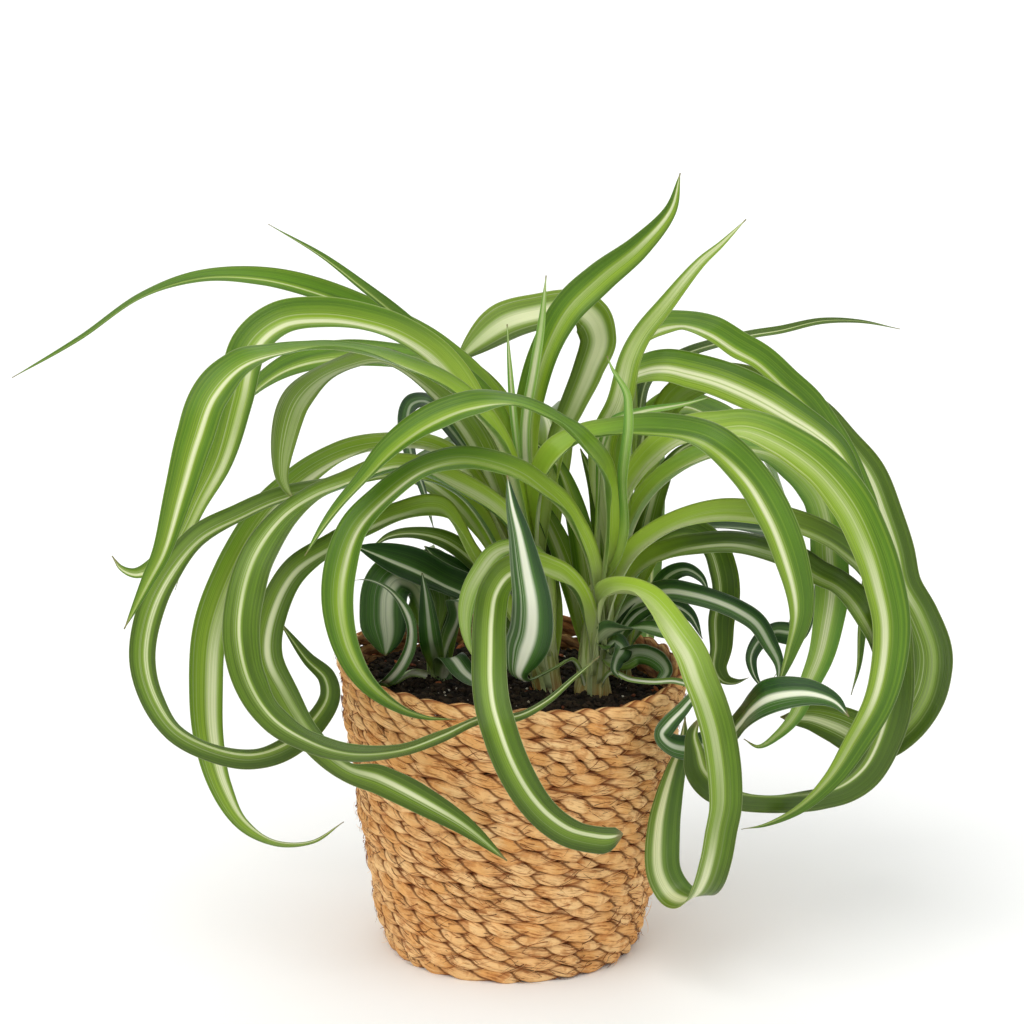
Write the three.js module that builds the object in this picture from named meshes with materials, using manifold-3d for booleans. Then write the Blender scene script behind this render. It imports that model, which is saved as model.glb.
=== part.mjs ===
// A potted spider plant of the curly kind in a basket coiled from seagrass rope.
// Millimetres, +Z up. The origin is the centre of the basket's underside, where it stands.
// +X is to the right and -Y to the front, where the plant is looked at from.

import * as THREE from 'three';
import Module from 'manifold-3d';
import { mergeVertices } from 'three/addons/utils/BufferGeometryUtils.js';

const wasm = await Module();
wasm.setup();

// ---- driving dimensions ----

const GAP = 0.3;                    // clearance between pieces that touch on the real thing

const BASKET_HEIGHT = 123;
const COILS = 22;                   // turns of rope, one above the other
const COIL_PITCH = BASKET_HEIGHT / COILS;
const ROPE_RELIEF = 1.5;            // how deep the groove between two turns is
const WALL = 6;
const FLOOR = 6;
const RIM_TILT = 0.037;             // the handmade rim stands higher on the left
const FOOT_RADIUS = 52;
const RIM_RADIUS = 73;
const EARLY_FLARE = 15;             // the part of the widening that happens mostly near the foot
const FLARE_POWER = 0.6;
const BASKET_SIDES = 36;

const LINER_WALL = 0.8;             // plastic film cup that keeps the soil in
const LINER_TOP = 104;
const SOIL_TOP = 109;
const SOIL_MOUND = 3;
const SOIL_LUMP = 0.9;
const SOIL_EDGE = 1.5;              // how much lower the soil is where it meets the basket
const STUB_DEPTH = 14;              // how deep each shoot stands in its hole in the soil
const HOLE_LENGTH = 40;             // long enough to cut each hole right through the soil's mounds
const HOLE_SIDES = 16;

const LEVELS = [30, 60, 90];        // heights at which the pot's smooth inner walls have a ring of points
const POT_SIDES = 28;               // corners round the liner and the soil
const SHOOT_SIDES = 12;

const BLADE_THICKNESS = 0.8;
const BASE_WIDTH = 5.5;
const TIP_WIDTH = 1.1;
const YOUNG_HOLD = 0.3;             // share of its length where a young leaf starts to taper
const CHANNEL = 34;                 // degrees that each half of a leaf is folded up, near its base
const CHANNEL_START = 0.12;         // share of its length by which a leaf has folded up
const CHANNEL_LOSS = 0.75;          // how much of the fold is gone at the tip
const GROWN = 0.3;                  // share of its length by which a leaf is fully wide
const TAPER_POWER = 1.7;
const TAPER_FULLNESS = 0.9;
const RISE_LENGTH = 11;             // how far a leaf keeps the angle it leaves its shoot at
const LONGEST_STEP = 34;            // mm of leaf between two sections
const LARGEST_TURN = 30;            // degrees that a leaf turns between two sections
const FEWEST_STEPS = 6;
const FINE = 24;                    // samples of a leaf's route between two of its points

// The shoots: where each stands on the soil, the point that its leaves fan out from, and its radii.
const SHOOTS = {
  mid: { foot: [15, -3], top: [8, 2, 174], radius: 6.5, neck: 4.6 },
  main: { foot: [33, -2], top: [36, -1, 158], radius: 7.5, neck: 4.5 },
  back: { foot: [44, 24], top: [45, 24, 150], radius: 5.5, neck: 3.4 },
  left: { foot: [-29, 6], top: [-31, 8, 134], radius: 5, neck: 3 },
};

// The leaves are drawn as they are seen from the front, from a little above: u mm to the right and
// v mm up in the picture plane through the plant's middle, and y, how far back the point really is.
// A fourth number is the face angle there: 0 shows the upper face, 90 its right edge, 180 the back.
// A row holds name, shoot, then the leaf's seat on the shoot: bearing in degrees and height above
// the soil, the angle at which the leaf rises from it, its full width, the share of its length where
// it starts to taper, its colour and its route.
const LEAVES = [
  // shoot_mid: the tall one, left of the middle
  ["leaf_left_long", "mid", 128, 42, 76, 13, 0.35, "bright", [[-5, 38, 15], [-29, 66, 12], [-54, 80, 8],
    [-78, 90, 4, 40], [-103, 96, 0, 50], [-128, 96, -2, 55], [-152, 88, -4, 60], [-177, 71, -6], [-205, 55, -8]]],
  ["leaf_left_thin", "mid", 176, 59, 76, 9, 0.3, "bright", [[-6, 40, 9], [-29, 64, 6], [-46, 80, 4],
    [-62, 93, -4, 45], [-78, 105, -7, 50], [-100, 118, -9]]],
  ["leaf_left_arch_back", "mid", 190, 48, 70, 17, 0.7, "bright", [[-15, 38, -3], [-29, 61, -5],
    [-46, 73, -12], [-62, 78, -15, 45], [-78, 80, -18, 40], [-95, 78, -22, 35], [-107, 68, -26, 30],
    [-113, 46, -32, 30], [-120, 21, -36, 30], [-128, 5, -38], [-136, -11, -37, 35], [-144, -20, -34],
    [-154, -25, -30], [-160, -23, -28], [-164, -18, -27]]],
  ["leaf_left_arch_front", "mid", 234, 39, 70, 18, 0.6, "bright", [[-5, 25, -22], [-17, 42, -29],
    [-29, 52, -31], [-46, 60, -38, 80], [-62, 65, -44, 80], [-78, 67, -50, 75], [-95, 65, -56, 65],
    [-111, 60, -63, 50], [-123, 48, -69, 30], [-130, 30, -74, 15], [-136, 9, -78, 10], [-143, -16, -80, 15],
    [-149, -28, -80], [-159, -48, -78]]],
  ["leaf_left_dark_curl", "mid", 204, 33, 56, 14, 0.75, "dark", [[-14, 26, -12], [-29, 46, -16],
    [-46, 59, -21], [-56, 62, -25], [-66, 60, -29], [-76, 56, -33, 60], [-83, 51, -37], [-88, 45, -41, 40],
    [-91, 38, -44], [-94, 23, -50, 30], [-94, 14, -53], [-92, 9, -54], [-89, 5, -55]]],
  ["leaf_left_hanging", "mid", 178, 28, 58, 17, 0.55, "bright", [[-18, 13, -6], [-33, 25, -13],
    [-52, 26, -17, 70], [-70, 22, -20, 65], [-87, 12, -23, 55], [-102, -3, -26, 40], [-115, -26, -30, 25],
    [-123, -49, -34, 20], [-125, -73, -38, 20], [-124, -93, -40, 20], [-119, -112, -42, 30],
    [-110, -127, -44, 45], [-97, -135, -46, 60], [-82, -135, -48, 60], [-69, -127, -50]]],
  ["leaf_left_ring_far", "mid", 198, 21, 48, 17, 0.8, "mid", [[-20, 5, -15], [-46, 15, -28],
    [-70, 11, -35, 65], [-95, 5, -42, 55], [-111, -2, -46, 50], [-128, -11, -50, 45], [-142, -28, -54, 35],
    [-149, -44, -58, 30], [-151, -61, -61, 30], [-147, -76, -64, 35], [-138, -89, -66, 45],
    [-123, -97, -66, 50], [-107, -100, -63, 50], [-93, -96, -58, 45], [-82, -87, -53, 35], [-75, -76, -49],
    [-76, -68, -46, 10], [-84, -60, -44], [-96, -44, -43]]],
  ["leaf_left_loop_big", "mid", 240, 26, 54, 19, 0.55, "mid", [[-2, -6, -23], [-24, 10, -33], [-46, 17, -44],
    [-66, 11, -55, 65], [-80, 6, -63, 60], [-93, -3, -70, 50], [-104, -19, -82, 35], [-109, -36, -88, 25],
    [-110, -52, -93, 20], [-106, -69, -98, 25], [-97, -83, -104, 40], [-82, -93, -107, 55],
    [-66, -98, -108, 60], [-46, -97, -107, 65], [-29, -91, -103, 60], [-13, -84, -97, 60],
    [2, -83, -92, 55], [14, -77, -88], [25, -68, -84], [36, -59, -81, 50]]],
  ["leaf_left_loop_low", "mid", 226, 11, 42, 18, 0.8, "mid", [[-6, -36, -18], [-17, -19, -26], [-29, 0, -36, 60],
    [-46, -2, -45, 55], [-58, -7, -50], [-72, -14, -56, 45], [-89, -25, -62, 30], [-98, -42, -66, 25],
    [-100, -59, -69, 25], [-93, -74, -72, 30], [-82, -91, -76, 40], [-68, -104, -79, 50],
    [-54, -109, -80, 20], [-37, -118, -79, 5], [-19, -129, -77, 0], [-2, -143, -73]]],
  ["leaf_front_pale_arch", "mid", 276, 15, 58, 11, 0.6, "pale", [[13, -26, -19], [9, -18, -28], [2, -15, -34, 60],
    [-6, -17, -39], [-12, -24, -45, 40], [-17, -33, -50], [-19, -43, -53, 30], [-18, -53, -54], [-15, -61, -53]]],
  ["leaf_top_tall", "mid", 70, 60, 84, 14, 0.6, "bright", [[7, 34, 10], [10, 52, 10], [15, 68, 11, -20],
    [23, 83, 12, -10], [36, 96, 13, 0], [52, 109, 13, 0], [65, 124, 13], [69, 139, 12]]],
  ["leaf_top_fold", "mid", 30, 44, 72, 20, 0.85, "bright", [[17, 14, 12], [20, 30, 18], [26, 44, 22, -20],
    [32, 58, 26, -10], [36, 71, 29, 0], [32, 80, 31], [24, 83, 31, 50], [12, 81, 29, 45], [-2, 77, 27, 40],
    [-15, 68, 25, 40], [-23, 61, 24]]],
  ["leaf_right_arch_inner", "mid", 290, 50, 74, 18, 0.6, "bright", [[13, 12, -12], [19, 23, -17],
    [28, 29, -17], [41, 32, -24, -60], [57, 33, -35, -55], [80, 29, -56, -50], [96, 16, -63, -40],
    [107, -1, -67, -30], [115, -22, -68, -20], [118, -40, -66, -20], [114, -57, -60, -30], [109, -72, -52]]],
  ["leaf_inner_back", "mid", 156, 36, 68, 12, 0.5, "dark", [[-12, 14, 14], [-27, 36, 13], [-35, 45, 15, 60],
    [-41, 44, 16], [-43, 36, 17, 40], [-41, 23, 18], [-36, 9, 19], [-32, -7, 20]]],
  ["leaf_inner_left_low", "mid", 188, 6, 40, 14, 0.55, "dark", [[-2, -52, -4], [-11, -42, -3], [-18, -34, -1],
    [-28, -29, -1, 40], [-39, -23, -4, 30], [-52, -18, -5, 25], [-64, -14, -7]]],
  ["leaf_inner_left_mid", "mid", 152, 20, 48, 14, 0.5, "dark", [[-2, -32, 13], [-12, -31, 11], [-22, -26, 10],
    [-30, -20, 11, 40], [-36, -14, 11]]],
  // shoot_main: the thick one in the middle
  ["leaf_top_arch_left", "main", 268, 45, 80, 17, 0.55, "bright", [[39, -3, -14], [38, 9, -20],
    [36, 18, -34], [30, 26, -43, 60], [24, 32, -47], [16, 38, -49, 75], [0, 44, -51, 80], [-17, 43, -54, 60],
    [-33, 37, -57, 50], [-49, 26, -66, 45], [-61, 13, -78, 50], [-72, 1, -89], [-78, -7, -94],
    [-85, -18, -97]]],
  ["leaf_front_ring", "main", 200, 38, 70, 18.5, 0.6, "bright", [[30, -18, -12], [25, -7, -17], [19, 2, -24],
    [12, 8, -31, 60], [4, 14, -38], [-5, 18, -43, 60], [-21, 21, -51, 55], [-37, 17, -60, 50],
    [-52, 6, -70, 40], [-64, -7, -77, 30], [-70, -24, -83, 20], [-71, -40, -87, 20], [-67, -57, -89, 25],
    [-59, -70, -90, 35], [-46, -80, -89, 45], [-35, -84, -87], [-23, -85, -84]]],
  ["leaf_front_hanging", "main", 228, 22, 66, 17.5, 0.97, "mid", [[29, -42, -12], [26, -34, -18], [21, -28, -26],
    [15, -25, -35, 50], [8, -23, -44], [2, -24, -51, 30], [-3, -27, -57], [-7, -34, -63, 15], [-8, -44, -73],
    [-9, -57, -88, 10], [-9, -69, -100], [-8, -79, -109, 10], [-5, -89, -110], [-2, -100, -109, 15],
    [2, -109, -108], [8, -118, -106, 25], [14, -125, -103], [22, -130, -99, 40], [30, -132, -95],
    [39, -132, -91, 60], [44, -130, -88]]],
  ["leaf_front_upright", "main", 258, 8, 30, 19, 0.35, "dark", [[25, -61, -17], [18, -64, -28], [13, -65, -40],
    [12, -61, -52], [11, -54, -61, 175], [8, -36, -70, 175], [6, -24, -72], [3, -9, -75, 175], [0, 3, -76],
    [-2, 15, -76]]],
  ["leaf_front_right", "main", 300, 35, 62, 18, 0.8, "bright", [[39, -34, -15], [47, -33, -27], [55, -36, -39, -50],
    [61, -42, -49, -35], [67, -50, -58, -25], [73, -59, -65, -20], [77, -69, -71, -15], [81, -79, -76],
    [84, -89, -79, -10], [86, -100, -81], [87, -110, -82, -10], [87, -120, -82], [85, -130, -80],
    [83, -141, -78, -20], [80, -151, -73], [76, -157, -66], [71, -158, -58], [66, -155, -52],
    [62, -147, -48], [62, -130, -45, 170], [64, -118, -42], [67, -106, -38], [70, -96, -33], [71, -84, -29]]],
  ["leaf_right_largest", "main", 12, 43, 70, 19, 0.5, "bright", [[43, -20, -2], [45, -7, -4], [49, 9, -9],
    [59, 22, -14, -40], [71, 30, -18, -50], [84, 33, -22, -55], [96, 34, -26, -50], [110, 29, -31, -40],
    [125, 19, -36, -30], [138, 4, -41, -15], [147, -14, -45, -10], [152, -30, -48, -10], [155, -46, -50, -15],
    [154, -63, -51, -20], [150, -78, -51, -25], [141, -94, -50, -30], [131, -109, -48, -35],
    [118, -121, -46, -45], [104, -128, -43], [94, -130, -40]]],
  ["leaf_right_inner_long", "main", 44, 34, 64, 16, 0.6, "pale", [[46, -20, 9], [50, -7, 7], [55, 3, 3],
    [63, 12, 0], [75, 20, -3, -60], [90, 25, -6, -55], [104, 24, -9, -50], [116, 17, -12, -40],
    [125, 8, -15, -25], [129, -3, -18, -15], [130, -18, -21, -10], [131, -32, -24, -10], [129, -46, -27],
    [126, -59, -29, -15], [121, -71, -30], [116, -83, -30, -30], [109, -91, -30], [101, -96, -29, -50],
    [95, -93, -28]]],
  ["leaf_right_loop_upper", "main", 345, 28, 54, 15, 0.88, "mid", [[49, -20, -10], [59, -11, -14],
    [71, -5, -18, -50], [84, -2, -22], [96, -2, -25, -50], [114, -5, -29], [129, -11, -31, -45],
    [139, -18, -31, -40], [147, -26, -30], [154, -38, -29, -25], [157, -55, -29], [157, -77, -31, -20],
    [153, -93, -33], [146, -106, -35, -35], [137, -113, -37], [127, -116, -39, -50], [114, -117, -42],
    [102, -117, -46, -60], [93, -116, -50], [84, -113, -54], [77, -106, -58], [75, -98, -60],
    [74, -91, -60], [77, -84, -60]]],
  ["leaf_right_loop_lower", "main", 14, 20, 48, 14, 0.8, "mid", [[52, -25, 1], [65, -17, -5], [77, -14, -11, -50],
    [90, -13, -15], [102, -15, -20, -50], [116, -20, -28], [125, -26, -32], [133, -30, -34, -45],
    [139, -35, -40], [144, -42, -48], [148, -50, -49, -30], [150, -59, -49], [150, -67, -48]]],
  ["leaf_right_dark_stripe", "main", 40, 11, 40, 12, 0.7, "dark", [[49, -39, 10], [57, -35, 9], [64, -33, 7],
    [73, -34, 3, -45], [84, -37, -3, -45], [93, -41, -6], [100, -46, -9, -40], [105, -54, -12],
    [109, -62, -14, -30], [109, -70, -15]]],
  ["leaf_right_spiral", "main", 328, 5, 28, 15, 0.8, "dark", [[52, -58, -23], [62, -61, -33], [71, -66, -36],
    [76, -73, -43], [71, -80, -48], [64, -87, -50], [61, -91, -52], [64, -95, -51], [71, -97, -47],
    [80, -96, -44], [88, -93, -44], [94, -87, -48], [98, -82, -54, -60], [105, -77, -62, -40],
    [114, -75, -66], [123, -75, -68, -30], [132, -78, -70], [138, -84, -71]]],
  // shoot_back: behind the middle, to the right
  ["leaf_top_right_tall", "back", 212, 37, 78, 12, 0.35, "bright", [[37, 28, 6.5], [44, 46, 1.5],
    [48, 63, 3, 10], [53, 73, 7, 10], [62, 84, 10, 0], [77, 102, 13], [86, 110, 15], [96, 120, 16]]],
  ["leaf_top_right_arch", "back", 352, 37, 82, 13.5, 0.6, "bright", [[50, 30, 32.8], [49.5, 58, 34.5],
    [53.5, 71, 33.2], [61, 76, 30, -40], [71, 77, 29, -50], [82, 74, 24], [92, 68, 24, -20], [102, 62, 22, -30],
    [112, 53, 20, -30], [121, 45, 17], [129, 34, 13], [135, 25, 7], [141, 13, 0], [146, -1, -6],
    [147, -18, -12, -40], [145, -32, -16], [143, -48, -18], [142, -63, -18], [139, -75, -18]]],
  ["leaf_top_right_wide", "back", 298, 26, 72, 18, 0.7, "bright", [[49, 16, 16], [47.5, 40, 20],
    [47.5, 54, 18], [55, 58, 17, -50], [63, 59, 14, -45], [73, 57, 14, -40], [84, 54, 13], [94, 50, 11, -35],
    [104, 45, 9], [114, 39, 5, -35], [125, 32, 0], [133, 25, -6], [141, 12, -13], [148, -3, -20]]],
  ["leaf_top_right_far", "back", 66, 38, 78, 11, 0.2, "dark", [[52, 34, 39.5], [56, 54, 38.5],
    [63, 60, 38], [73, 65, 36, -50], [86, 69, 37], [98, 72, 38, -55], [110, 74, 39], [127, 78, 40],
    [143, 78, 41], [159, 75, 41]]],
  ["leaf_right_outer", "back", 30, 26, 62, 19, 0.88, "dark", [[60, 20, 38], [68, 44, 34],
    [80, 51, 34], [94, 52, 32], [110, 47, 30], [125, 39, 27], [135, 28, 24, -50], [145, 14, 20, -40],
    [151, -1, 16, -35], [156, -16, 12, -35], [159, -30, 8], [166, -43, 2, -20], [171, -57, -6, -10],
    [171, -67, -12, 0], [168, -77, -18, 0], [161, -87, -22], [152, -93, -23], [144, -92, -21],
    [133, -87, -18], [123, -84, -18]]],
  ["leaf_right_droop_inner", "back", 325, 14, 50, 13, 0.7, "mid", [[55, -20, 19], [63, -10, 21], [73, -8, 20],
    [82, -14, 17, -30], [86, -24, 14, -20], [87, -34, 12], [85, -44, 10], [85, -55, 8], [84, -64, 6],
    [87, -69, 3], [92, -70, 0], [97, -68, -3]]],
  ["leaf_right_hook", "back", 358, 16, 50, 11, 0.75, "dark", [[60, -14, 29], [77, -7, 30], [96, -7, 24], [110, -11, 10],
    [117, -24, 4], [119, -38, 0], [116, -49, -2], [108, -49, -3], [102, -52, -4], [98, -59, -5],
    [99, -66, -6], [103, -73, -8]]],
  // shoot_left: the small dark one over the left of the soil
  ["leaf_soil_wide", "left", 165, 18, 70, 21, 0.8, "dark", [[-36, -34, 5], [-41, -28, 2], [-48, -27, -3],
    [-52, -32, -7, 0], [-53, -42, -9, 0], [-52, -52, -10, 0], [-52, -59, -10]]],
  ["leaf_soil_curl", "left", 225, 9, 20, 8, 0.7, "dark", [[-41, -65, -2], [-49, -69, -10], [-53, -69, -17],
    [-51, -69, -23], [-46, -64, -26], [-42, -55, -28], [-42, -45, -29], [-46, -37, -29], [-52, -31, -29],
    [-59, -28, -29], [-65, -28, -28]]],
  ["leaf_soil_upright", "left", 262, 15, 64, 9, 0.4, "dark", [[-38, -50, -11], [-34, -40, -13, 10],
    [-36, -32, -15], [-36, -24, -15]]],
  ["leaf_soil_flat", "left", 318, 8, 20, 14, 0.8, "dark", [[-25, -60, -12], [-20, -66, -20], [-15, -70, -27],
    [-10, -73, -34]]],
  ["leaf_soil_pale", "left", 335, 11, 66, 12, 0.8, "pale", [[-22, -43, -8], [-22, -36, -25], [-18, -38, -26],
    [-13, -41, -28]]],
  // leaves round the back, which keep the plant full from every side
  ["leaf_back_middle", "back", 105, 20, 60, 16, 0.5, "mid", [[42, 10, 46], [50, 38, 62], [53, 43, 92],
    [55, 24, 116], [56, -9, 128], [55, -43, 126], [52, -69, 112], [48, -79, 98], [44, -74, 88]]],
  ["leaf_back_right", "back", 48, 14, 50, 15, 0.5, "mid", [[56, -20, 36], [65, -14, 46], [77, -13, 58],
    [90, -12, 70], [102, -14, 80], [116, -20, 90], [133, -32, 99], [145, -44, 104], [151, -60, 106],
    [152, -80, 102], [144, -96, 94], [132, -104, 84]]],
  ["leaf_back_right_high", "back", 82, 30, 68, 14, 0.55, "bright", [[48, 24, 49], [66, 44, 58],
    [82, 40, 72], [97, 30, 91], [108, 12, 101], [115, -10, 108], [118, -34, 111], [114, -56, 107],
    [106, -70, 99]]],
  ["leaf_back_left_ring", "mid", 120, 24, 60, 15, 0.5, "mid", [[-2, 12, 30], [-12, 28, 42],
    [-26, 27, 58], [-42, 18, 74], [-56, 2, 88], [-66, -18, 98], [-70, -40, 102], [-64, -60, 98],
    [-52, -72, 90], [-38, -76, 80]]],
  ["leaf_back_left_far", "mid", 130, 10, 50, 16, 0.5, "mid", [[-12, -10, 28], [-27, 8, 29], [-46, 17, 40],
    [-70, 11, 52], [-93, -3, 62], [-106, -24, 70], [-110, -50, 74], [-105, -72, 72], [-94, -88, 64],
    [-82, -94, 56]]],
  ["leaf_back_left_high", "mid", 104, 36, 66, 15, 0.5, "bright", [[-2, 34, 26], [-20, 56, 34],
    [-44, 62, 48], [-70, 64, 60], [-94, 58, 70], [-112, 42, 77], [-124, 18, 80], [-131, -8, 78],
    [-138, -32, 72]]],
  ["leaf_back_straight", "mid", 80, 22, 58, 16, 0.5, "mid", [[15, 0, 22], [18, 28, 36], [15, 40, 62],
    [11, 38, 88], [7, 18, 108], [5, -12, 118], [5, -46, 116], [9, -72, 104], [14, -84, 90]]],
  ["leaf_back_low", "left", 120, 12, 55, 13, 0.5, "mid", [[-33, -30, 22], [-36, -20, 40], [-38, -16, 60],
    [-38, -22, 80], [-36, -38, 94], [-33, -58, 98], [-28, -74, 92], [-20, -82, 82]]],
];

// Slim young leaves that are still one with their shoot: the shoot, the width and the route.
const YOUNG_LEAVES = [
  ["mid", 4.5, [[9, -22, 3], [5, 34, 1], [9, 60, 1], [12, 77, 2], [14, 97, 2]]],
  ["mid", 3, [[9, -22, 2], [1, 34, -3], [-1, 60, -2], [-2, 77, -2]]],
  ["main", 4.5, [[36, -30, -1], [43, -22, -9], [47, -8, -22], [46, 14, -38], [47, 25, -48], [48, 34, -52],
    [48, 42, -52], [47, 49, -51], [41, 59, -49], [39, 64, -48]]],
  ["main", 3, [[36, -30, -1], [36, 5, 0], [37, 24, -1], [42, 33, -2], [53, 37, -2], [69, 39, -2], [82, 42, -2]]],
  ["main", 6, [[33, -56, -6], [40, -49, -15], [47, -48, -20], [56, -48, -24], [64, -50, -27], [70, -53, -29]]],
  ["main", 4.5, [[34, -58, -6], [45, -55, -13], [44, -62, -16], [41, -62, -19], [44, -66, -20]]],
  ["main", 5, [[36, -60, -4], [48, -54, -10], [56, -54, -14], [61, -59, -18], [60, -64, -20]]],
];

const LEAF_COLOURS = { bright: 0x6f9c33, mid: 0x4f8130, dark: 0x35602b, pale: 0x9db56b };
const COLOURS = { basket: 0xc99a5b, liner: 0x2b2b29, soil: 0x241a14, shoot: 0x93a85a };

// ---- helpers ----

const rad = THREE.MathUtils.degToRad;
const clamp = THREE.MathUtils.clamp;

const SIGHT = { distance: 2000, height: 186, tilt: rad(16) };

// the point at depth y on the sight line through (u, v) of the picture plane
function drawn(u, v, y) {
  const eye = new THREE.Vector3(0, -SIGHT.distance * Math.cos(SIGHT.tilt),
    SIGHT.height + SIGHT.distance * Math.sin(SIGHT.tilt));
  const plane = new THREE.Vector3(u, v * Math.sin(SIGHT.tilt), SIGHT.height + v * Math.cos(SIGHT.tilt));
  const along = (y - eye.y) / (plane.y - eye.y);
  return eye.clone().lerp(plane, along);
}

function towardsEye(point) {
  const eye = drawn(0, 0, -SIGHT.distance * Math.cos(SIGHT.tilt));
  return eye.sub(point).normalize();
}

function geometryOf(points, faces) {
  const geometry = new THREE.BufferGeometry();
  geometry.setAttribute('position', new THREE.Float32BufferAttribute(points.flat(), 3));
  geometry.setIndex(faces.flat());
  return geometry;
}

function toSolid(geometry) {
  const bare = geometry.clone();
  bare.deleteAttribute('normal');
  bare.deleteAttribute('uv');
  const merged = mergeVertices(bare, 1e-3);
  const mesh = new wasm.Mesh({
    numProp: 3,
    vertProperties: new Float32Array(merged.attributes.position.array),
    triVerts: new Uint32Array(merged.index.array),
  });
  return new wasm.Manifold(mesh);
}

function fromSolid(solid) {
  const mesh = solid.getMesh();
  const geometry = new THREE.BufferGeometry();
  geometry.setAttribute('position', new THREE.BufferAttribute(new Float32Array(mesh.vertProperties), 3));
  geometry.setIndex(new THREE.BufferAttribute(new Uint32Array(mesh.triVerts), 1));
  return geometry;
}

// a closed skin over rings of equally many points, each ring a list of [x, y, z], with flat ends
function skin(rings) {
  const count = rings[0].length;
  const points = rings.flat();
  const faces = [];
  for (let i = 0; i + 1 < rings.length; i += 1) {
    for (let k = 0; k < count; k += 1) {
      const a = i * count + k;
      const b = i * count + (k + 1) % count;
      faces.push([a, b, b + count], [a, b + count, a + count]);
    }
  }
  const middle = (ring) => [0, 1, 2].map((axis) => ring.reduce((sum, p) => sum + p[axis], 0) / count);
  const start = points.push(middle(rings[0])) - 1;
  const end = points.push(middle(rings.at(-1))) - 1;
  const last = (rings.length - 1) * count;
  for (let k = 0; k < count; k += 1) {
    const next = (k + 1) % count;
    faces.push([start, next, k], [end, last + k, last + next]);
  }
  return geometryOf(points, faces);
}

// ---- basket, liner and soil ----

// outer radius of the basket at height z: narrow at the foot, widening to the rim
function basketRadius(z) {
  const t = clamp(z / BASKET_HEIGHT, 0, 1);
  const late = RIM_RADIUS - FOOT_RADIUS - EARLY_FLARE;
  return FOOT_RADIUS + EARLY_FLARE * Math.pow(t, FLARE_POWER) + late * t;
}

// each turn of rope is a little wavy, as handwork is
function handWave(angle, coil) {
  return 0.5 * Math.sin(3 * angle + 1.7 * coil) + 0.4 * Math.sin(5 * angle - 0.9 * coil);
}

function tiltRim(point) {
  const [x, y, z] = point;
  return [x, y, z * (1 - RIM_TILT * x / RIM_RADIUS)];
}

function ring(radius, z, sides, wave = () => 0) {
  return Array.from({ length: sides }, (_, k) => {
    const angle = 2 * Math.PI * k / sides;
    const r = radius + wave(angle);
    return [r * Math.cos(angle), r * Math.sin(angle), z];
  });
}

function basket() {
  const rings = [];
  rings.push(ring(basketRadius(0) - ROPE_RELIEF, 0, BASKET_SIDES));
  for (let coil = 0; coil < COILS; coil += 1) {
    const crest = (coil + 0.5) * COIL_PITCH;
    const groove = (coil + 1) * COIL_PITCH;
    rings.push(ring(basketRadius(crest), crest, BASKET_SIDES, (angle) => handWave(angle, coil)));
    if (coil < COILS - 1) {
      rings.push(ring(basketRadius(groove) - ROPE_RELIEF, groove, BASKET_SIDES));
    }
  }
  const lip = COIL_PITCH / 2;
  rings.push(ring(basketRadius(BASKET_HEIGHT) - WALL * 0.35, BASKET_HEIGHT, BASKET_SIDES));
  rings.push(ring(basketRadius(BASKET_HEIGHT) - WALL * 0.65, BASKET_HEIGHT, BASKET_SIDES));
  for (const z of [BASKET_HEIGHT - lip, ...LEVELS.toReversed(), FLOOR]) {
    rings.push(ring(basketRadius(z) - WALL, z, BASKET_SIDES));
  }
  return skin(rings.map((points) => points.map(tiltRim)));
}

const linerRadius = (z) => basketRadius(z) - WALL - GAP;
const soilRadius = (z) => linerRadius(z) - LINER_WALL - GAP;

function liner() {
  const floor = FLOOR + GAP;
  const heights = [floor, ...LEVELS, LINER_TOP];
  const outside = heights.map((z) => ring(linerRadius(z), z, POT_SIDES));
  const inside = heights.slice(1).reverse().map((z) => ring(linerRadius(z) - LINER_WALL, z, POT_SIDES));
  inside.push(ring(linerRadius(floor) - LINER_WALL, floor + LINER_WALL, POT_SIDES));
  return skin([...outside, ...inside].map((points) => points.map(tiltRim)));
}

function soilHeight(x, y) {
  const reach = Math.hypot(x, y) / soilRadius(SOIL_TOP);
  const lumps = Math.sin(0.31 * x + 1.1) * Math.cos(0.27 * y) + 0.6 * Math.sin(0.53 * y - 0.41 * x);
  return SOIL_TOP + SOIL_MOUND * (1 - reach * reach) + SOIL_LUMP * lumps * (1 - 0.6 * reach);
}

function soil() {
  const bottom = FLOOR + 2 * GAP + LINER_WALL;
  const rings = [bottom, ...LEVELS, SOIL_TOP - SOIL_EDGE].map((z) => ring(soilRadius(z), z, POT_SIDES));
  for (const share of [0.97, 0.75, 0.5, 0.25]) {
    const top = ring(soilRadius(SOIL_TOP) * share, 0, POT_SIDES);
    rings.push(top.map(([x, y]) => [x, y, soilHeight(x, y)]));
  }
  let ground = toSolid(skin(rings.map((points) => points.map(tiltRim))));
  for (const shoot of Object.values(SHOOTS)) {
    const [x, y] = shoot.foot;
    const bottomOfHole = SOIL_TOP - STUB_DEPTH - GAP;
    const wide = shoot.radius + GAP;
    const hole = new THREE.CylinderGeometry(wide, wide, HOLE_LENGTH, HOLE_SIDES);
    hole.rotateX(Math.PI / 2).translate(x, y, bottomOfHole + HOLE_LENGTH / 2);
    ground = ground.subtract(toSolid(hole));
  }
  return fromSolid(ground);
}

// ---- shoots and leaves ----

// the shoot's middle and radius at a height above the soil
function shootAt(shoot, height) {
  const [topX, topY, topZ] = shoot.top;
  const full = topZ - SOIL_TOP;
  const share = clamp(height / full, 0, 1);
  const middle = new THREE.Vector3(
    THREE.MathUtils.lerp(shoot.foot[0], topX, share),
    THREE.MathUtils.lerp(shoot.foot[1], topY, share),
    SOIL_TOP + height,
  );
  const radius = THREE.MathUtils.lerp(shoot.radius, shoot.neck, share);
  return { middle, radius };
}

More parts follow.
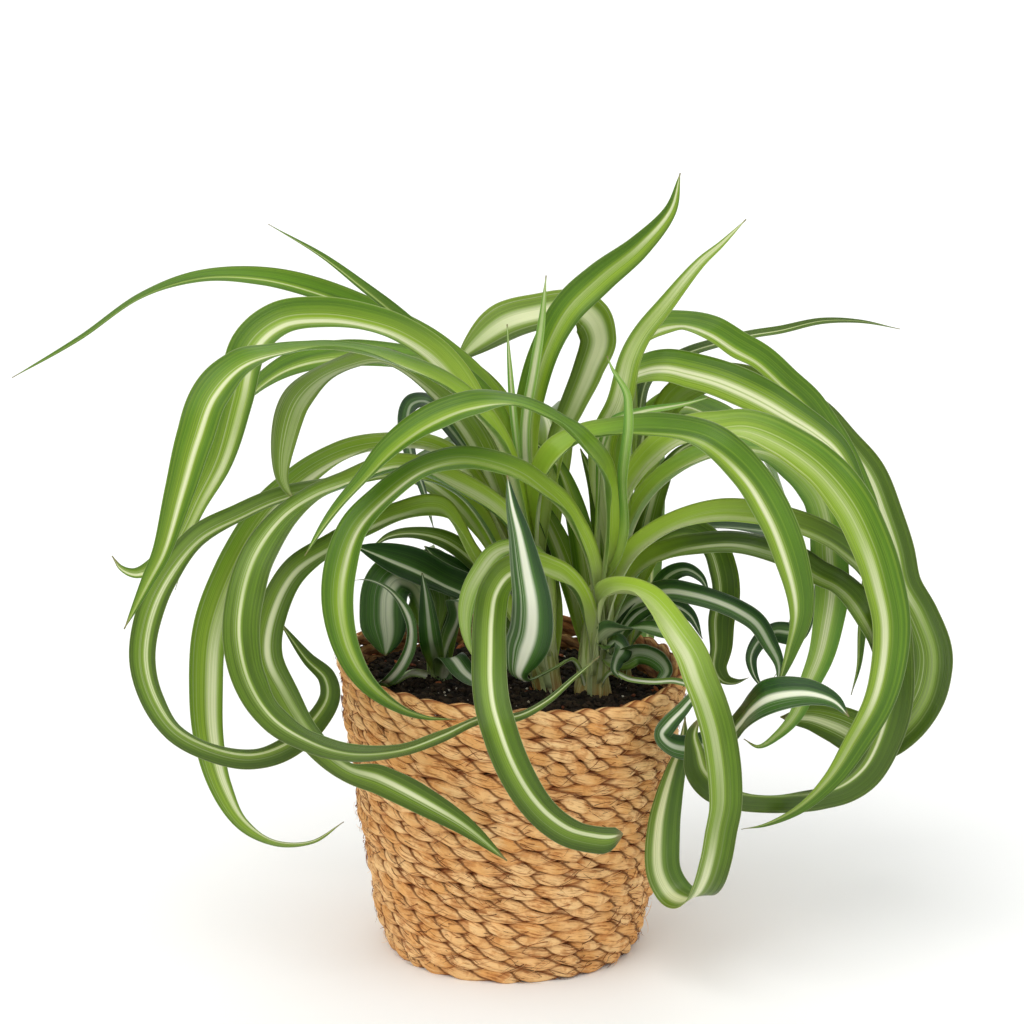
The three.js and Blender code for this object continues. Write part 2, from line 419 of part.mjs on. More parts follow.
function shootBody(shoot) {
  const full = shoot.top[2] - SOIL_TOP;
  const rings = [];
  for (const height of [-STUB_DEPTH, 0, full * 0.5, full]) {
    const { middle, radius } = shootAt(shoot, height);
    rings.push(ring(radius, middle.z, SHOOT_SIDES).map(([x, y, z]) => [x + middle.x, y + middle.y, z]));
  }
  return toSolid(skin(rings));
}

// a smooth route through the leaf's points, with a frame carried along it and turned to the face
// angles that the leaf asks for
function leafRoute(points, faces, firstNormal) {
  const curve = new THREE.CatmullRomCurve3(points, false, 'centripetal');
  const fine = FINE * (points.length - 1);
  const at = Array.from({ length: fine + 1 }, (_, i) => curve.getPoint(i / fine));
  const tangents = at.map((_, i) => {
    const ahead = at[Math.min(i + 1, fine)];
    const behind = at[Math.max(i - 1, 0)];
    return ahead.clone().sub(behind).normalize();
  });
  const normals = [];
  let normal = firstNormal.clone();
  for (let i = 0; i <= fine; i += 1) {
    normal = normal.clone().addScaledVector(tangents[i], -normal.dot(tangents[i])).normalize();
    normals.push(normal);
  }
  const marks = [[0, 0]];
  for (const [index, face] of faces) {
    const i = index * FINE;
    const eye = towardsEye(at[i]);
    const right = tangents[i].clone().cross(eye).normalize();
    const facing = right.clone().cross(tangents[i]).normalize();
    const wanted = facing.multiplyScalar(Math.cos(rad(face))).addScaledVector(right, Math.sin(rad(face)));
    const side = tangents[i].clone().cross(normals[i]);
    const turn = Math.atan2(wanted.dot(side), wanted.dot(normals[i]));
    const before = marks.at(-1)[1];
    marks.push([i, turn + 2 * Math.PI * Math.round((before - turn) / (2 * Math.PI))]);
  }
  for (let i = 0; i <= fine; i += 1) {
    const after = marks.findIndex(([place]) => place > i);
    let roll = marks.at(-1)[1];
    if (after > 0) {
      const [from, rollFrom] = marks[after - 1];
      const [to, rollTo] = marks[after];
      roll = rollFrom + (rollTo - rollFrom) * THREE.MathUtils.smoothstep(i, from, to);
    }
    normals[i] = normals[i].clone().applyAxisAngle(tangents[i], roll);
  }
  return { at, tangents, normals };
}

// stations along the route, closer together where it bends
function stationsOf(route) {
  const { at, tangents } = route;
  const cost = [0];
  const length = [0];
  for (let i = 1; i < at.length; i += 1) {
    const step = at[i].distanceTo(at[i - 1]);
    const turn = THREE.MathUtils.radToDeg(tangents[i].angleTo(tangents[i - 1]));
    cost.push(cost[i - 1] + step / LONGEST_STEP + turn / LARGEST_TURN);
    length.push(length[i - 1] + step);
  }
  const count = Math.max(FEWEST_STEPS, Math.ceil(cost.at(-1)));
  return Array.from({ length: count + 1 }, (_, n) => {
    const wanted = cost.at(-1) * n / count;
    const i = Math.max(0, cost.findIndex((value) => value >= wanted - 1e-9));
    return { i, along: length[i] / length.at(-1) };
  });
}

// narrow where it clasps the shoot, soon fully wide, and tapered from its hold on
function widthAt(along, full, hold) {
  const grow = THREE.MathUtils.smoothstep(along, 0, GROWN);
  const past = clamp((along - hold) / (1 - hold), 0, 1);
  const taper = Math.pow(1 - Math.pow(past, TAPER_POWER), TAPER_FULLNESS);
  return Math.max(TIP_WIDTH, (BASE_WIDTH + (full - BASE_WIDTH) * grow) * taper);
}

function foldAt(along) {
  return rad(CHANNEL) * THREE.MathUtils.smoothstep(along, 0, CHANNEL_START) * (1 - CHANNEL_LOSS * along);
}

// a thin closed blade along the route, folded into a channel, with flat ends
function blade(points, faces, firstNormal, full, hold) {
  const route = leafRoute(points, faces, firstNormal);
  const sections = stationsOf(route).map(({ i, along }) => {
    const normal = route.normals[i];
    const side = route.tangents[i].clone().cross(normal);
    const half = widthAt(along, full, hold) / 2;
    const fold = foldAt(along);
    const thick = normal.clone().multiplyScalar(BLADE_THICKNESS / 2);
    const middle = route.at[i];
    const edge = (sign) => middle.clone()
      .addScaledVector(side, sign * half * Math.cos(fold))
      .addScaledVector(normal, half * Math.sin(fold));
    const left = edge(-1);
    const right = edge(1);
    return [
      left.clone().add(thick), middle.clone().add(thick), right.clone().add(thick),
      right.clone().sub(thick), middle.clone().sub(thick), left.clone().sub(thick),
    ].map((p) => p.toArray());
  });
  const points3 = sections.flat();
  const faces3 = [];
  const upper = [0, 1, 2];
  for (let n = 0; n + 1 < sections.length; n += 1) {
    for (let k = 0; k < 6; k += 1) {
      const a = n * 6 + k;
      const b = n * 6 + (k + 1) % 6;
      if (upper.includes(k)) {
        faces3.push([a, b, b + 6], [a, b + 6, a + 6]);
      } else {
        faces3.push([a, b, a + 6], [b, b + 6, a + 6]);
      }
    }
  }
  const cap = (first, flip) => {
    const corner = [[0, 1, 5], [1, 4, 5], [1, 2, 4], [2, 3, 4]];
    for (const [a, b, c] of corner) {
      faces3.push(flip ? [first + a, first + c, first + b] : [first + a, first + b, first + c]);
    }
  };
  cap(0, true);
  cap((sections.length - 1) * 6, false);
  return geometryOf(points3, faces3);
}

// turns a closed skin's faces over if they look inwards
function outward(geometry) {
  const position = geometry.attributes.position;
  const index = geometry.index.array;
  const corner = [new THREE.Vector3(), new THREE.Vector3(), new THREE.Vector3()];
  let volume = 0;
  for (let n = 0; n < index.length; n += 3) {
    corner.forEach((p, k) => p.fromBufferAttribute(position, index[n + k]));
    volume += corner[0].dot(corner[1].cross(corner[2])) / 6;
  }
  if (volume < 0) {
    for (let n = 0; n < index.length; n += 3) {
      [index[n], index[n + 1]] = [index[n + 1], index[n]];
    }
  }
  return geometry;
}

function leaf([, shootName, bearing, height, rise, full, hold, , route]) {
  const shoot = SHOOTS[shootName];
  const { middle, radius } = shootAt(shoot, height);
  const out = new THREE.Vector3(Math.cos(rad(bearing)), Math.sin(rad(bearing)), 0);
  const up = new THREE.Vector3(0, 0, 1);
  const seat = middle.clone().addScaledVector(out, radius + GAP + BLADE_THICKNESS / 2);
  const lift = seat.clone()
    .addScaledVector(out, RISE_LENGTH * Math.cos(rad(rise)))
    .addScaledVector(up, RISE_LENGTH * Math.sin(rad(rise)));
  const points = [seat, lift, ...route.map(([u, v, y]) => drawn(u, v, y))];
  const faces = [];
  route.forEach(([, , , face], n) => {
    if (face !== undefined) {
      faces.push([n + 2, face]);
    }
  });
  return outward(blade(points, faces, out.clone().negate(), full, hold));
}

// starts inside the shoot, with its upper face turned to the shoot's foot
function youngLeaf(shoot, full, route) {
  const points = route.map(([u, v, y]) => drawn(u, v, y));
  const { middle } = shootAt(shoot, 0);
  const inward = middle.sub(points[0]).setZ(0).normalize();
  return toSolid(outward(blade(points, [[route.length - 1, 0]], inward, full, YOUNG_HOLD)));
}

function shootWithYoungLeaves(name) {
  let body = shootBody(SHOOTS[name]);
  for (const [shootName, full, route] of YOUNG_LEAVES) {
    if (shootName === name) {
      body = body.add(youngLeaf(SHOOTS[name], full, route));
    }
  }
  return fromSolid(body);
}

// ---- the plant ----

function finished(name, geometry, colour, roughness) {
  geometry.computeVertexNormals();
  const material = new THREE.MeshStandardMaterial({ color: colour, roughness, metalness: 0 });
  const mesh = new THREE.Mesh(geometry, material);
  mesh.name = name;
  return mesh;
}

const plant = new THREE.Group();
plant.name = 'potted_spider_plant';
plant.add(finished('basket', outward(basket()), COLOURS.basket, 0.85));
plant.add(finished('liner', outward(liner()), COLOURS.liner, 0.5));
plant.add(finished('soil', soil(), COLOURS.soil, 1));
for (const name of Object.keys(SHOOTS)) {
  plant.add(finished(`shoot_${name}`, shootWithYoungLeaves(name), COLOURS.shoot, 0.6));
}
for (const row of LEAVES) {
  plant.add(finished(row[0], leaf(row), LEAF_COLOURS[row[7]], 0.5));
}

export default plant;
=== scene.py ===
"""Looks of a potted spider plant: curling striped leaves, soil and a basket coiled from seagrass rope.

The shapes are worked out in millimetres, in the frame's own axes, and every object is made in metres.
+Z is up, +X is to the right, -Y is the front, and the basket stands on z = 0.
"""

import math
import random

import bpy
import numpy as np
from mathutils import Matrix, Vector


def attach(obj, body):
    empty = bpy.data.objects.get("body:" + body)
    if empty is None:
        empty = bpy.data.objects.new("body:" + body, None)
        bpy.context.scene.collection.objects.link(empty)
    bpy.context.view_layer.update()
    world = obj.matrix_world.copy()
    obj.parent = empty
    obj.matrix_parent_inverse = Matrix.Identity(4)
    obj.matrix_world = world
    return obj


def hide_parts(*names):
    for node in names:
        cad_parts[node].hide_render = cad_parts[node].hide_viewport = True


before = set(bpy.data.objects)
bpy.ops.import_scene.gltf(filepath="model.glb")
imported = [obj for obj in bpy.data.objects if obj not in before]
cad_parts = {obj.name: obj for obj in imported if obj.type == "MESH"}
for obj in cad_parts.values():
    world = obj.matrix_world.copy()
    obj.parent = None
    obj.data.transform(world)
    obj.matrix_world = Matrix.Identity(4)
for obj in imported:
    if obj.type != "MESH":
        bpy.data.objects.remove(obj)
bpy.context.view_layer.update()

bl_info = {
    "name": "Potted spider plant",
    "version": (1, 0, 0),
    "blender": (4, 5, 0),
    "location": "View3D > Sidebar > Plant",
    "description": "Builds a curly spider plant in a coiled seagrass basket around its frame",
    "category": "Add Mesh",
}

MM = 0.001
TURN = 2 * math.pi
UP = np.array([0, 0, 1.0])

# ---- sizes in millimetres, the same as the frame's where both have them ----

BASKET_HEIGHT = 123
FOOT_RADIUS = 52            # the basket's outside on the ground
ROUND_SPREAD = 15           # how far the wall spreads in a curve that is steepest at the foot
EVEN_SPREAD = 6             # how far it spreads evenly, from foot to rim
SPREAD_POWER = 0.6
COILS = 22                  # turns of rope, one above the other
COIL_PITCH = BASKET_HEIGHT / COILS
WALL = 6
RIM_TILT = 0.037            # the handmade rim stands higher on the left
RIM_RADIUS = FOOT_RADIUS + ROUND_SPREAD + EVEN_SPREAD
LINER_THICKNESS = 0.8
LINER_GAP = 0.3             # clearance on each side of the plastic cup
SOIL_TOP = 109
SOIL_BOTTOM = 7.1
SOIL_MOUND = 3
SOIL_LUMP = 0.9
STUB_DEPTH = 14             # how deep each shoot stands in the soil

ROPE_SIDES = 28             # points round the rope
ROPE_RISE = 0.22            # how far a coil strays up and down, but not next to the ground
FIRST_TURN = 2              # radius at which the rope starts under the soil
PLY_REACH = 0.52            # how far a ply's middle lies off the rope's, as a share of the ply's radius
INNER_SEEN = 80             # height above which the inside of the wall can be seen
PRESSED = 1.15              # the rope is pressed this much taller than it is thick
GRAIN_LEAN = 0.36           # how much the twist bends where the rope bulges out
GRAIN_SWELL = 0.12          # how far one hump of a ply stands above the next

FINE = 24                   # samples of a leaf's route between two of its points
FLAT_FOLD = 15              # degrees that each half of a leaf is folded up, all along it
BASE_FOLD = 27.2            # degrees more near its base
CLASP_FOLD = 22             # degrees more where it clasps its shoot
CLASP_LENGTH = 22           # how far down the shoot a leaf's base reaches
LOWEST_CLASP = -4           # no base starts deeper in the soil than this
LOWEST_SEAT = 3             # and no leaf parts from its shoot below this
LEAST_CLIMB = 0.8           # a leaf climbs at least this much for each mm outwards
CLASP_DEPTH = 0.75          # shares of the shoot's radius at which a leaf starts and parts from it
SEAT_DEPTH = 0.8
TAPER_POWER = 1.7
TAPER_FULLNESS = 0.9
TIP_WIDTH = 0.6
GROWN = (0, 0.3)            # shares of its length between which a leaf widens
YOUNG_HOLD = 0.55           # share of its length where a young leaf starts to taper
YOUNG_BASE = 5.5            # its width at its base
TALL_YOUNG = 4              # this many young leaves are slim and pale, the rest dark and curled
INNER_HOLD = 0.5
INNER_SEAT = 6              # height above the soil at which an inner leaf starts
SHEATHS = 3                 # leaf bases wrapped round a shoot
SHEATH_CLIMB = 46           # height in which each winds once round it
CLOSING = 0.93              # share of its height above which a shoot closes

SIGHT_DISTANCE = 2000       # from the camera to the middle of the picture plane
SIGHT_HEIGHT = 186
SIGHT_TILT = math.radians(16)
EYE = np.array([0, -SIGHT_DISTANCE * math.cos(SIGHT_TILT),
                SIGHT_HEIGHT + SIGHT_DISTANCE * math.sin(SIGHT_TILT)])

LIGHT_TARGET = (0, 0, 0.17)     # in metres, as the lights' own places are
LENS = 171.5                # focal length of a lens whose picture fits the plant

# where each shoot stands on the soil, the point that its leaves fan out from, and its radii
SHOOTS = {
    "mid": {"foot": (15, -3), "top": (8, 2, 174), "radius": 6.5, "neck": 4.6},
    "main": {"foot": (33, -2), "top": (36, -1, 158), "radius": 7.5, "neck": 4.5},
    "back": {"foot": (44, 24), "top": (45, 24, 150), "radius": 5.5, "neck": 3.4},
    "left": {"foot": (-29, 6), "top": (-31, 8, 134), "radius": 5, "neck": 3},
}

# The leaves are drawn as they are seen from the front, from a little above: u mm to the right and
# v mm up in the picture plane through the plant's middle, and y, how far back the point really is.
# A fourth number is the face angle there: 0 shows the upper face, 90 its right edge, 180 the back.
# A row holds name, shoot, the height above the soil at which the leaf parts from the shoot, its full
# width, the share of its length where it starts to taper, its colour and its route.
LEAVES = [
    # shoot_mid: the tall one, left of the middle
    ("leaf_left_long", "mid", 42, 13, 0.35, "bright", [(-5, 38, 15), (-29, 66, 12), (-54, 80, 8),
     (-78, 90, 4, 40), (-103, 96, 0, 50), (-128, 96, -2, 55), (-152, 88, -4, 60), (-177, 71, -6),
     (-205, 55, -8)]),
    ("leaf_left_thin", "mid", 59, 9, 0.3, "bright", [(-6, 40, 9), (-29, 64, 6), (-46, 80, 4),
     (-62, 93, -4, 45), (-78, 105, -7, 50), (-100, 118, -9)]),
    ("leaf_left_arch_back", "mid", 48, 17, 0.7, "bright", [(-15, 38, -3), (-29, 61, -5), (-46, 73, -12),
     (-62, 78, -15, 45), (-78, 80, -18, 40), (-95, 78, -22, 35), (-107, 68, -26, 30), (-113, 46, -32, 30),
     (-120, 21, -36, 30), (-128, 5, -38), (-136, -11, -37, 35), (-144, -20, -34), (-154, -25, -30),
     (-160, -23, -28), (-164, -18, -27)]),
    ("leaf_left_arch_front", "mid", 39, 18, 0.6, "bright", [(-5, 25, -22), (-17, 42, -29), (-29, 52, -31),
     (-46, 60, -38, 80), (-62, 65, -44, 80), (-78, 67, -50, 75), (-95, 65, -56, 65), (-111, 60, -63, 50),
     (-123, 48, -69, 30), (-130, 30, -74, 15), (-136, 9, -78, 10), (-143, -16, -80, 15), (-149, -28, -80),
     (-159, -48, -78)]),
    ("leaf_left_dark_curl", "mid", 33, 17, 0.75, "dark", [(-14, 26, -12), (-29, 46, -16), (-46, 59, -21),
     (-56, 62, -25), (-66, 60, -29), (-76, 56, -33, 60), (-83, 51, -37), (-88, 45, -41, 40),
     (-91, 38, -44), (-94, 23, -50, 30), (-94, 14, -53), (-92, 9, -54), (-89, 5, -55)]),
    ("leaf_left_hanging", "mid", 28, 17, 0.55, "bright", [(-18, 13, -6), (-33, 25, -13),
     (-52, 26, -17, 70), (-70, 22, -20, 65), (-87, 12, -23, 55), (-102, -3, -26, 40),
     (-115, -26, -30, 25), (-123, -49, -34, 20), (-125, -73, -38, 20), (-124, -93, -40, 20),
     (-119, -112, -42, 30), (-110, -127, -44, 45), (-97, -135, -46, 60), (-82, -135, -48, 60),
     (-69, -127, -50)]),
    ("leaf_left_ring_far", "mid", 21, 12.5, 0.8, "mid", [(-20, 5, -15), (-46, 15, -28),
     (-70, 11, -35, 65), (-95, 5, -42, 55), (-111, -2, -46, 50), (-128, -11, -50, 45),
     (-142, -28, -54, 35), (-149, -44, -58, 30), (-151, -61, -61, 30), (-147, -76, -64, 35),
     (-138, -89, -66, 45), (-123, -97, -66, 50), (-107, -100, -63, 50), (-93, -96, -58, 45),
     (-82, -87, -53, 35), (-75, -76, -49), (-76, -68, -46, 10), (-84, -60, -44), (-96, -44, -43)]),
    ("leaf_left_loop_big", "mid", 26, 16.5, 0.55, "mid", [(-2, -6, -23), (-24, 10, -33), (-46, 17, -44),
     (-66, 11, -55, 65), (-80, 6, -63, 60), (-93, -3, -70, 50), (-104, -19, -82, 35),
     (-109, -36, -88, 25), (-110, -52, -93, 20), (-106, -69, -98, 25), (-97, -83, -104, 40),
     (-82, -93, -107, 55), (-66, -98, -108, 60), (-46, -97, -107, 65), (-29, -91, -103, 60),
     (-13, -84, -97, 60), (2, -83, -92, 55), (14, -77, -88), (25, -68, -84), (36, -59, -81, 50)]),
    ("leaf_left_loop_low", "mid", 11, 13.5, 0.8, "mid", [(-6, -36, -18), (-17, -19, -26),
     (-29, 0, -36, 60), (-46, -2, -45, 55), (-58, -7, -50), (-72, -14, -56, 45), (-89, -25, -62, 30),
     (-98, -42, -66, 25), (-100, -59, -69, 25), (-93, -74, -72, 30), (-82, -91, -76, 40),
     (-68, -104, -79, 50), (-54, -109, -80, 20), (-37, -118, -79, 5), (-19, -129, -77, 0),
     (-2, -143, -73)]),
    ("leaf_front_pale_arch", "mid", 15, 11, 0.6, "pale", [(13, -26, -19), (9, -18, -28),
     (2, -15, -34, 60), (-6, -17, -39), (-12, -24, -45, 40), (-17, -33, -50), (-19, -43, -53, 30),
     (-18, -53, -54), (-15, -61, -53)]),
    ("leaf_top_tall", "mid", 60, 14, 0.6, "bright", [(7, 34, 10), (10, 52, 10), (15, 68, 11, -20),
     (23, 83, 12, -10), (36, 96, 13, 0), (52, 109, 13, 0), (65, 124, 13), (69, 139, 12)]),
    ("leaf_top_fold", "mid", 44, 20, 0.85, "bright", [(17, 14, 12), (20, 30, 18, -40), (26, 44, 22, -40),
     (32, 58, 26, -35), (36, 71, 29, -20), (32, 80, 31, 0), (24, 83, 31, 50), (12, 81, 29, 45),
     (-2, 77, 27, 40), (-15, 68, 25, 40), (-23, 61, 24)]),
    ("leaf_right_arch_inner", "mid", 50, 18, 0.6, "bright", [(13, 12, -12), (19, 23, -17), (28, 29, -17),
     (41, 32, -24, -60), (57, 33, -35, -55), (80, 29, -56, -50), (96, 16, -63, -40), (107, -1, -67, -30),
     (115, -22, -68, -20), (118, -40, -66, -20), (114, -57, -60, -30), (109, -72, -52)]),
    ("leaf_inner_back", "mid", 36, 12, 0.5, "dark", [(-12, 14, 14), (-27, 36, 13), (-35, 45, 15, 60),
     (-41, 44, 16), (-43, 36, 17, 40), (-41, 23, 18), (-36, 9, 19), (-32, -7, 20)]),
    ("leaf_inner_left_low", "mid", 6, 17, 0.72, "dark", [(-2, -52, -4), (-11, -42, -3), (-18, -34, -1),
     (-28, -29, -1, 40), (-39, -23, -4, 30), (-52, -18, -5, 25), (-64, -14, -7)]),
    ("leaf_inner_left_mid", "mid", 20, 16, 0.68, "dark", [(-2, -32, 13), (-12, -31, 11), (-22, -26, 10),
     (-30, -20, 11, 40), (-36, -14, 11)]),
    # shoot_main: the thick one in the middle
    ("leaf_top_arch_left", "main", 45, 17, 0.55, "bright", [(39, -3, -14), (38, 9, -20), (36, 18, -34),
     (30, 26, -43, 60), (24, 32, -47), (16, 38, -49, 75), (0, 44, -51, 80), (-17, 43, -54, 60),
     (-33, 37, -57, 50), (-49, 26, -66, 45), (-61, 13, -78, 50), (-72, 1, -89), (-78, -7, -94),
     (-85, -18, -97)]),
    ("leaf_front_ring", "main", 38, 15, 0.6, "bright", [(30, -18, -12), (25, -7, -17), (19, 2, -24),
     (12, 8, -31, 60), (4, 14, -38), (-5, 18, -43, 60), (-21, 21, -51, 55), (-37, 17, -60, 50),
     (-52, 6, -70, 40), (-64, -7, -77, 30), (-70, -24, -83, 20), (-71, -40, -87, 20), (-67, -57, -89, 25),
     (-59, -70, -90, 35), (-46, -80, -89, 45), (-35, -84, -87), (-23, -85, -84)]),
    ("leaf_front_hanging", "main", 22, 14.5, 0.965, "mid", [(29.1, -41.8, -12), (25.8, -34, -18),
     (20.9, -27.9, -26), (15.2, -25, -35, 50), (8.2, -23, -44), (2, -24.2, -51, 30), (-2.9, -27.1, -57),
     (-7, -34, -63, 15), (-8.6, -43.9, -73), (-9, -57, -85, 10), (-9, -68.9, -95),
     (-7.8, -79.5, -102, 10), (-4.9, -89.8, -107), (-1.2, -100, -108, 14), (3.3, -109.1, -108),
     (9, -117.7, -106, 22), (15.6, -124.6, -103), (23.8, -130, -99, 32), (32.4, -132.4, -95),
     (39.8, -133.2, -91, 40), (45.5, -132, -88, 44)]),
    ("leaf_front_upright", "main", 8, 19.5, 0.46, "dark", [(25, -61.1, -17), (18.4, -64, -28),
     (11.9, -67.2, -40), (6.1, -69.3, -50), (2.9, -66.8, -57), (4.9, -59.4, -61, 178),
     (7.4, -51.7, -64, 178), (8.2, -44.3, -67), (7.8, -36.1, -70, 176), (5.7, -24.2, -72),
     (2.9, -9, -75, 175), (0, 2.9, -76), (-2, 15.2, -76)]),
    ("leaf_front_right", "main", 35, 14.5, 0.8, "bright", [(39, -34, -15), (47, -33, -27),
     (55, -36, -39, -50), (61, -42, -49, -35), (67, -50, -58, -25), (73, -59, -65, -20),
     (77, -69, -71, -15), (81, -79, -76), (84, -89, -79, -10), (86, -100, -81), (87, -110, -82, -10),
     (87, -120, -82), (85, -130, -80), (83, -141, -78, -20), (80, -151, -73), (76, -157, -66),
     (71, -158, -58), (66, -155, -52), (62, -147, -48), (62, -130, -45, 170), (64, -118, -42),
     (67, -106, -38), (70, -96, -33), (71, -84, -29)]),
    ("leaf_right_largest", "main", 43, 19, 0.5, "bright", [(43, -20, -2), (45, -7, -4), (49, 9, -9),
     (59, 22, -14, -40), (71, 30, -18, -50), (84, 33, -22, -55), (96, 34, -26, -50), (110, 29, -31, -40),
     (125, 19, -36, -30), (138, 4, -41, -15), (147, -14, -45, -10), (152, -30, -48, -10),
     (155, -46, -50, -15), (154, -63, -51, -20), (150, -78, -51, -25), (141, -94, -50, -30),
     (131, -109, -48, -35), (118, -121, -46, -45), (104, -128, -43), (94, -130, -40)]),
    ("leaf_right_inner_long", "main", 34, 16, 0.6, "pale", [(46, -20, 9), (50, -7, 7), (55, 3, 3),
     (63, 12, 0), (75, 20, -3, -60), (90, 25, -6, -55), (104, 24, -9, -50), (116, 17, -12, -40),
     (125, 8, -15, -25), (129, -3, -18, -15), (130, -18, -21, -10), (131, -32, -24, -10), (129, -46, -27),
     (126, -59, -29, -15), (121, -71, -30), (116, -83, -30, -30), (109, -91, -30), (101, -96, -29, -50),
     (95, -93, -28)]),
    ("leaf_right_loop_upper", "main", 28, 15, 0.88, "mid", [(49, -20, -10), (59, -11, -14),
     (71, -5, -18, -50), (84, -2, -22), (96, -2, -25, -50), (114, -5, -29), (129, -11, -31, -45),
     (139, -18, -31, -40), (147, -26, -30), (154, -38, -29, -25), (157, -55, -29), (157, -77, -31, -20),
     (153, -93, -33), (146, -106, -35, -35), (137, -113, -37), (127, -116, -39, -50), (114, -117, -42),
     (102, -117, -46, -60), (93, -116, -50), (84, -113, -54), (77, -106, -58), (75, -98, -60),
     (74, -91, -60), (77, -84, -60)]),
    ("leaf_right_loop_lower", "main", 20, 14, 0.8, "mid", [(52, -25, 1), (65, -17, -5),
     (77, -14, -11, -50), (90, -13, -15), (102, -15, -20, -50), (116, -20, -28), (125, -26, -32),
     (133, -30, -34, -45), (139, -35, -40), (144, -42, -48), (148, -50, -49, -30), (150, -59, -49),
     (150, -67, -48)]),
    ("leaf_right_dark_stripe", "main", 11, 12, 0.7, "dark", [(49, -39, 10), (57, -35, 9), (64, -33, 7),
     (73, -34, 3, -45), (84, -37, -3, -45), (93, -41, -6), (100, -46, -9, -40), (105, -54, -12),
     (109, -62, -14, -30), (109, -70, -15)]),
    ("leaf_right_spiral", "main", 5, 17, 0.8, "dark", [(41.4, -65.6, -16), (48.8, -68.5, -26),
     (57.8, -69.7, -33), (67.6, -69.7, -37), (75.4, -73.4, -43), (70.9, -79.9, -48), (64, -86.9, -50),
     (61.1, -91, -52), (64, -95.1, -51), (70.9, -97.2, -47), (79.9, -95.9, -44), (88.1, -93.1, -44),
     (93.9, -86.9, -48), (98, -82, -54, -60), (105, -77.1, -62, -40), (114, -75, -66),
     (123, -75, -68, -30), (132, -77.9, -70), (138.2, -84, -71)]),
    # shoot_back: behind the middle, to the right
    ("leaf_top_right_tall", "back", 37, 12, 0.35, "bright", [(37, 28, 6.5), (44, 46, 1.5),
     (48, 63, 3, 10), (53, 73, 7, 10), (62, 84, 10, 0), (77, 102, 13), (86, 110, 15), (96, 120, 16)]),
    ("leaf_top_right_arch", "back", 37, 13.5, 0.6, "bright", [(50, 30, 32.8), (49.5, 58, 34.5),
     (53.5, 71, 33.2), (61, 76, 30, -40), (71, 77, 29, -50), (82, 74, 24), (92, 68, 24, -20),
     (102, 62, 22, -30), (112, 53, 20, -30), (121, 45, 17), (129, 34, 13), (135, 25, 7), (141, 13, 0),
     (146, -1, -6), (147, -18, -12, -40), (145, -32, -16), (143, -48, -18), (142, -63, -18),
     (139, -75, -18)]),
    ("leaf_top_right_wide", "back", 26, 18, 0.7, "bright", [(49, 16, 16), (47.5, 40, 20), (47.5, 54, 18),
     (55, 58, 17, -50), (63, 59, 14, -45), (73, 57, 14, -40), (84, 54, 13), (94, 50, 11, -35),
     (104, 45, 9), (114, 39, 5, -35), (125, 32, 0), (133, 25, -6), (141, 12, -13), (148, -3, -20)]),
    ("leaf_top_right_far", "back", 38, 11, 0.2, "dark", [(52, 34, 39.5), (56, 54, 38.5), (63, 60, 38),
     (73, 65, 36, -50), (86, 69, 37), (98, 72, 38, -55), (110, 74, 39), (127, 78, 40), (143, 78, 41),
     (159, 75, 41)]),
    ("leaf_right_outer", "back", 26, 19, 0.88, "dark", [(60, 20, 38), (68, 44, 34), (80, 51, 34),
     (94, 52, 32), (110, 47, 30), (125, 39, 27), (135, 28, 24, -50), (145, 14, 20, -40),
     (151, -1, 16, -35), (156, -16, 12, -35), (159, -30, 8), (166, -43, 2, -20), (171, -57, -6, -10),
     (171, -67, -12, 0), (168, -77, -18, 0), (161, -87, -22), (152, -93, -23), (144, -92, -21),
     (133, -87, -18), (123, -84, -18), (116, -84, -22), (110, -84, -28)]),
    ("leaf_right_droop_inner", "back", 14, 13, 0.7, "mid", [(55, -20, 19), (63, -10, 21), (73, -8, 20),
     (82, -14, 17, -30), (86, -24, 14, -20), (87, -34, 12), (85, -44, 10), (85, -55, 8), (84, -64, 6),
     (87, -69, 3), (92, -70, 0), (97, -68, -3)]),
    ("leaf_right_hook", "back", 16, 11, 0.75, "dark", [(60, -14, 29), (77, -7, 30), (96, -7, 24),
     (110, -11, 10), (117, -24, 4), (119, -38, 0), (116, -49, -2), (108, -49, -3), (102, -52, -4),
     (98, -59, -5), (99, -66, -6), (103, -73, -8)]),
    # shoot_left: the small dark one over the left of the soil
    ("leaf_soil_wide", "left", 18, 21, 0.8, "dark", [(-36, -34, 5), (-41, -28, 2), (-48, -27, -3),
     (-52, -32, -7, 0), (-53, -42, -9, 0), (-52, -52, -10, 0), (-52, -59, -10)]),
    ("leaf_soil_curl", "left", 9, 5.5, 0.7, "dark", [(-41, -65, -2), (-49, -69, -10), (-53, -69, -17),
     (-51, -69, -23), (-46, -64, -26, 10), (-42, -55, -28), (-42, -45, -29, 45), (-46, -37, -29),
     (-52, -31, -29, 72), (-59, -28, -29), (-65, -28, -28, 78)]),
    ("leaf_soil_upright", "left", 15, 9.5, 0.4, "dark", [(-33.5, -52, -12, 0), (-34.6, -42, -14, 0),
     (-35.6, -33, -15, 0), (-36.9, -25, -15, 0)]),
    ("leaf_soil_flat", "left", 8, 12, 0.8, "dark", [(-25, -60, -12), (-20, -66, -20), (-15, -70, -27),
     (-10, -73, -34)]),
    ("leaf_soil_pale", "left", 11, 9, 0.8, "pale", [(-22, -43, -8), (-22, -36, -25), (-18, -38, -26),
     (-13, -41, -28)]),
    # leaves round the back, which keep the plant full from every side
    ("leaf_back_middle", "back", 20, 16, 0.5, "mid", [(42, 10, 46), (50, 38, 62), (53, 43, 92),
     (55, 24, 116), (56, -9, 128), (55, -43, 126), (52, -69, 112), (48, -79, 98), (44, -74, 88)]),
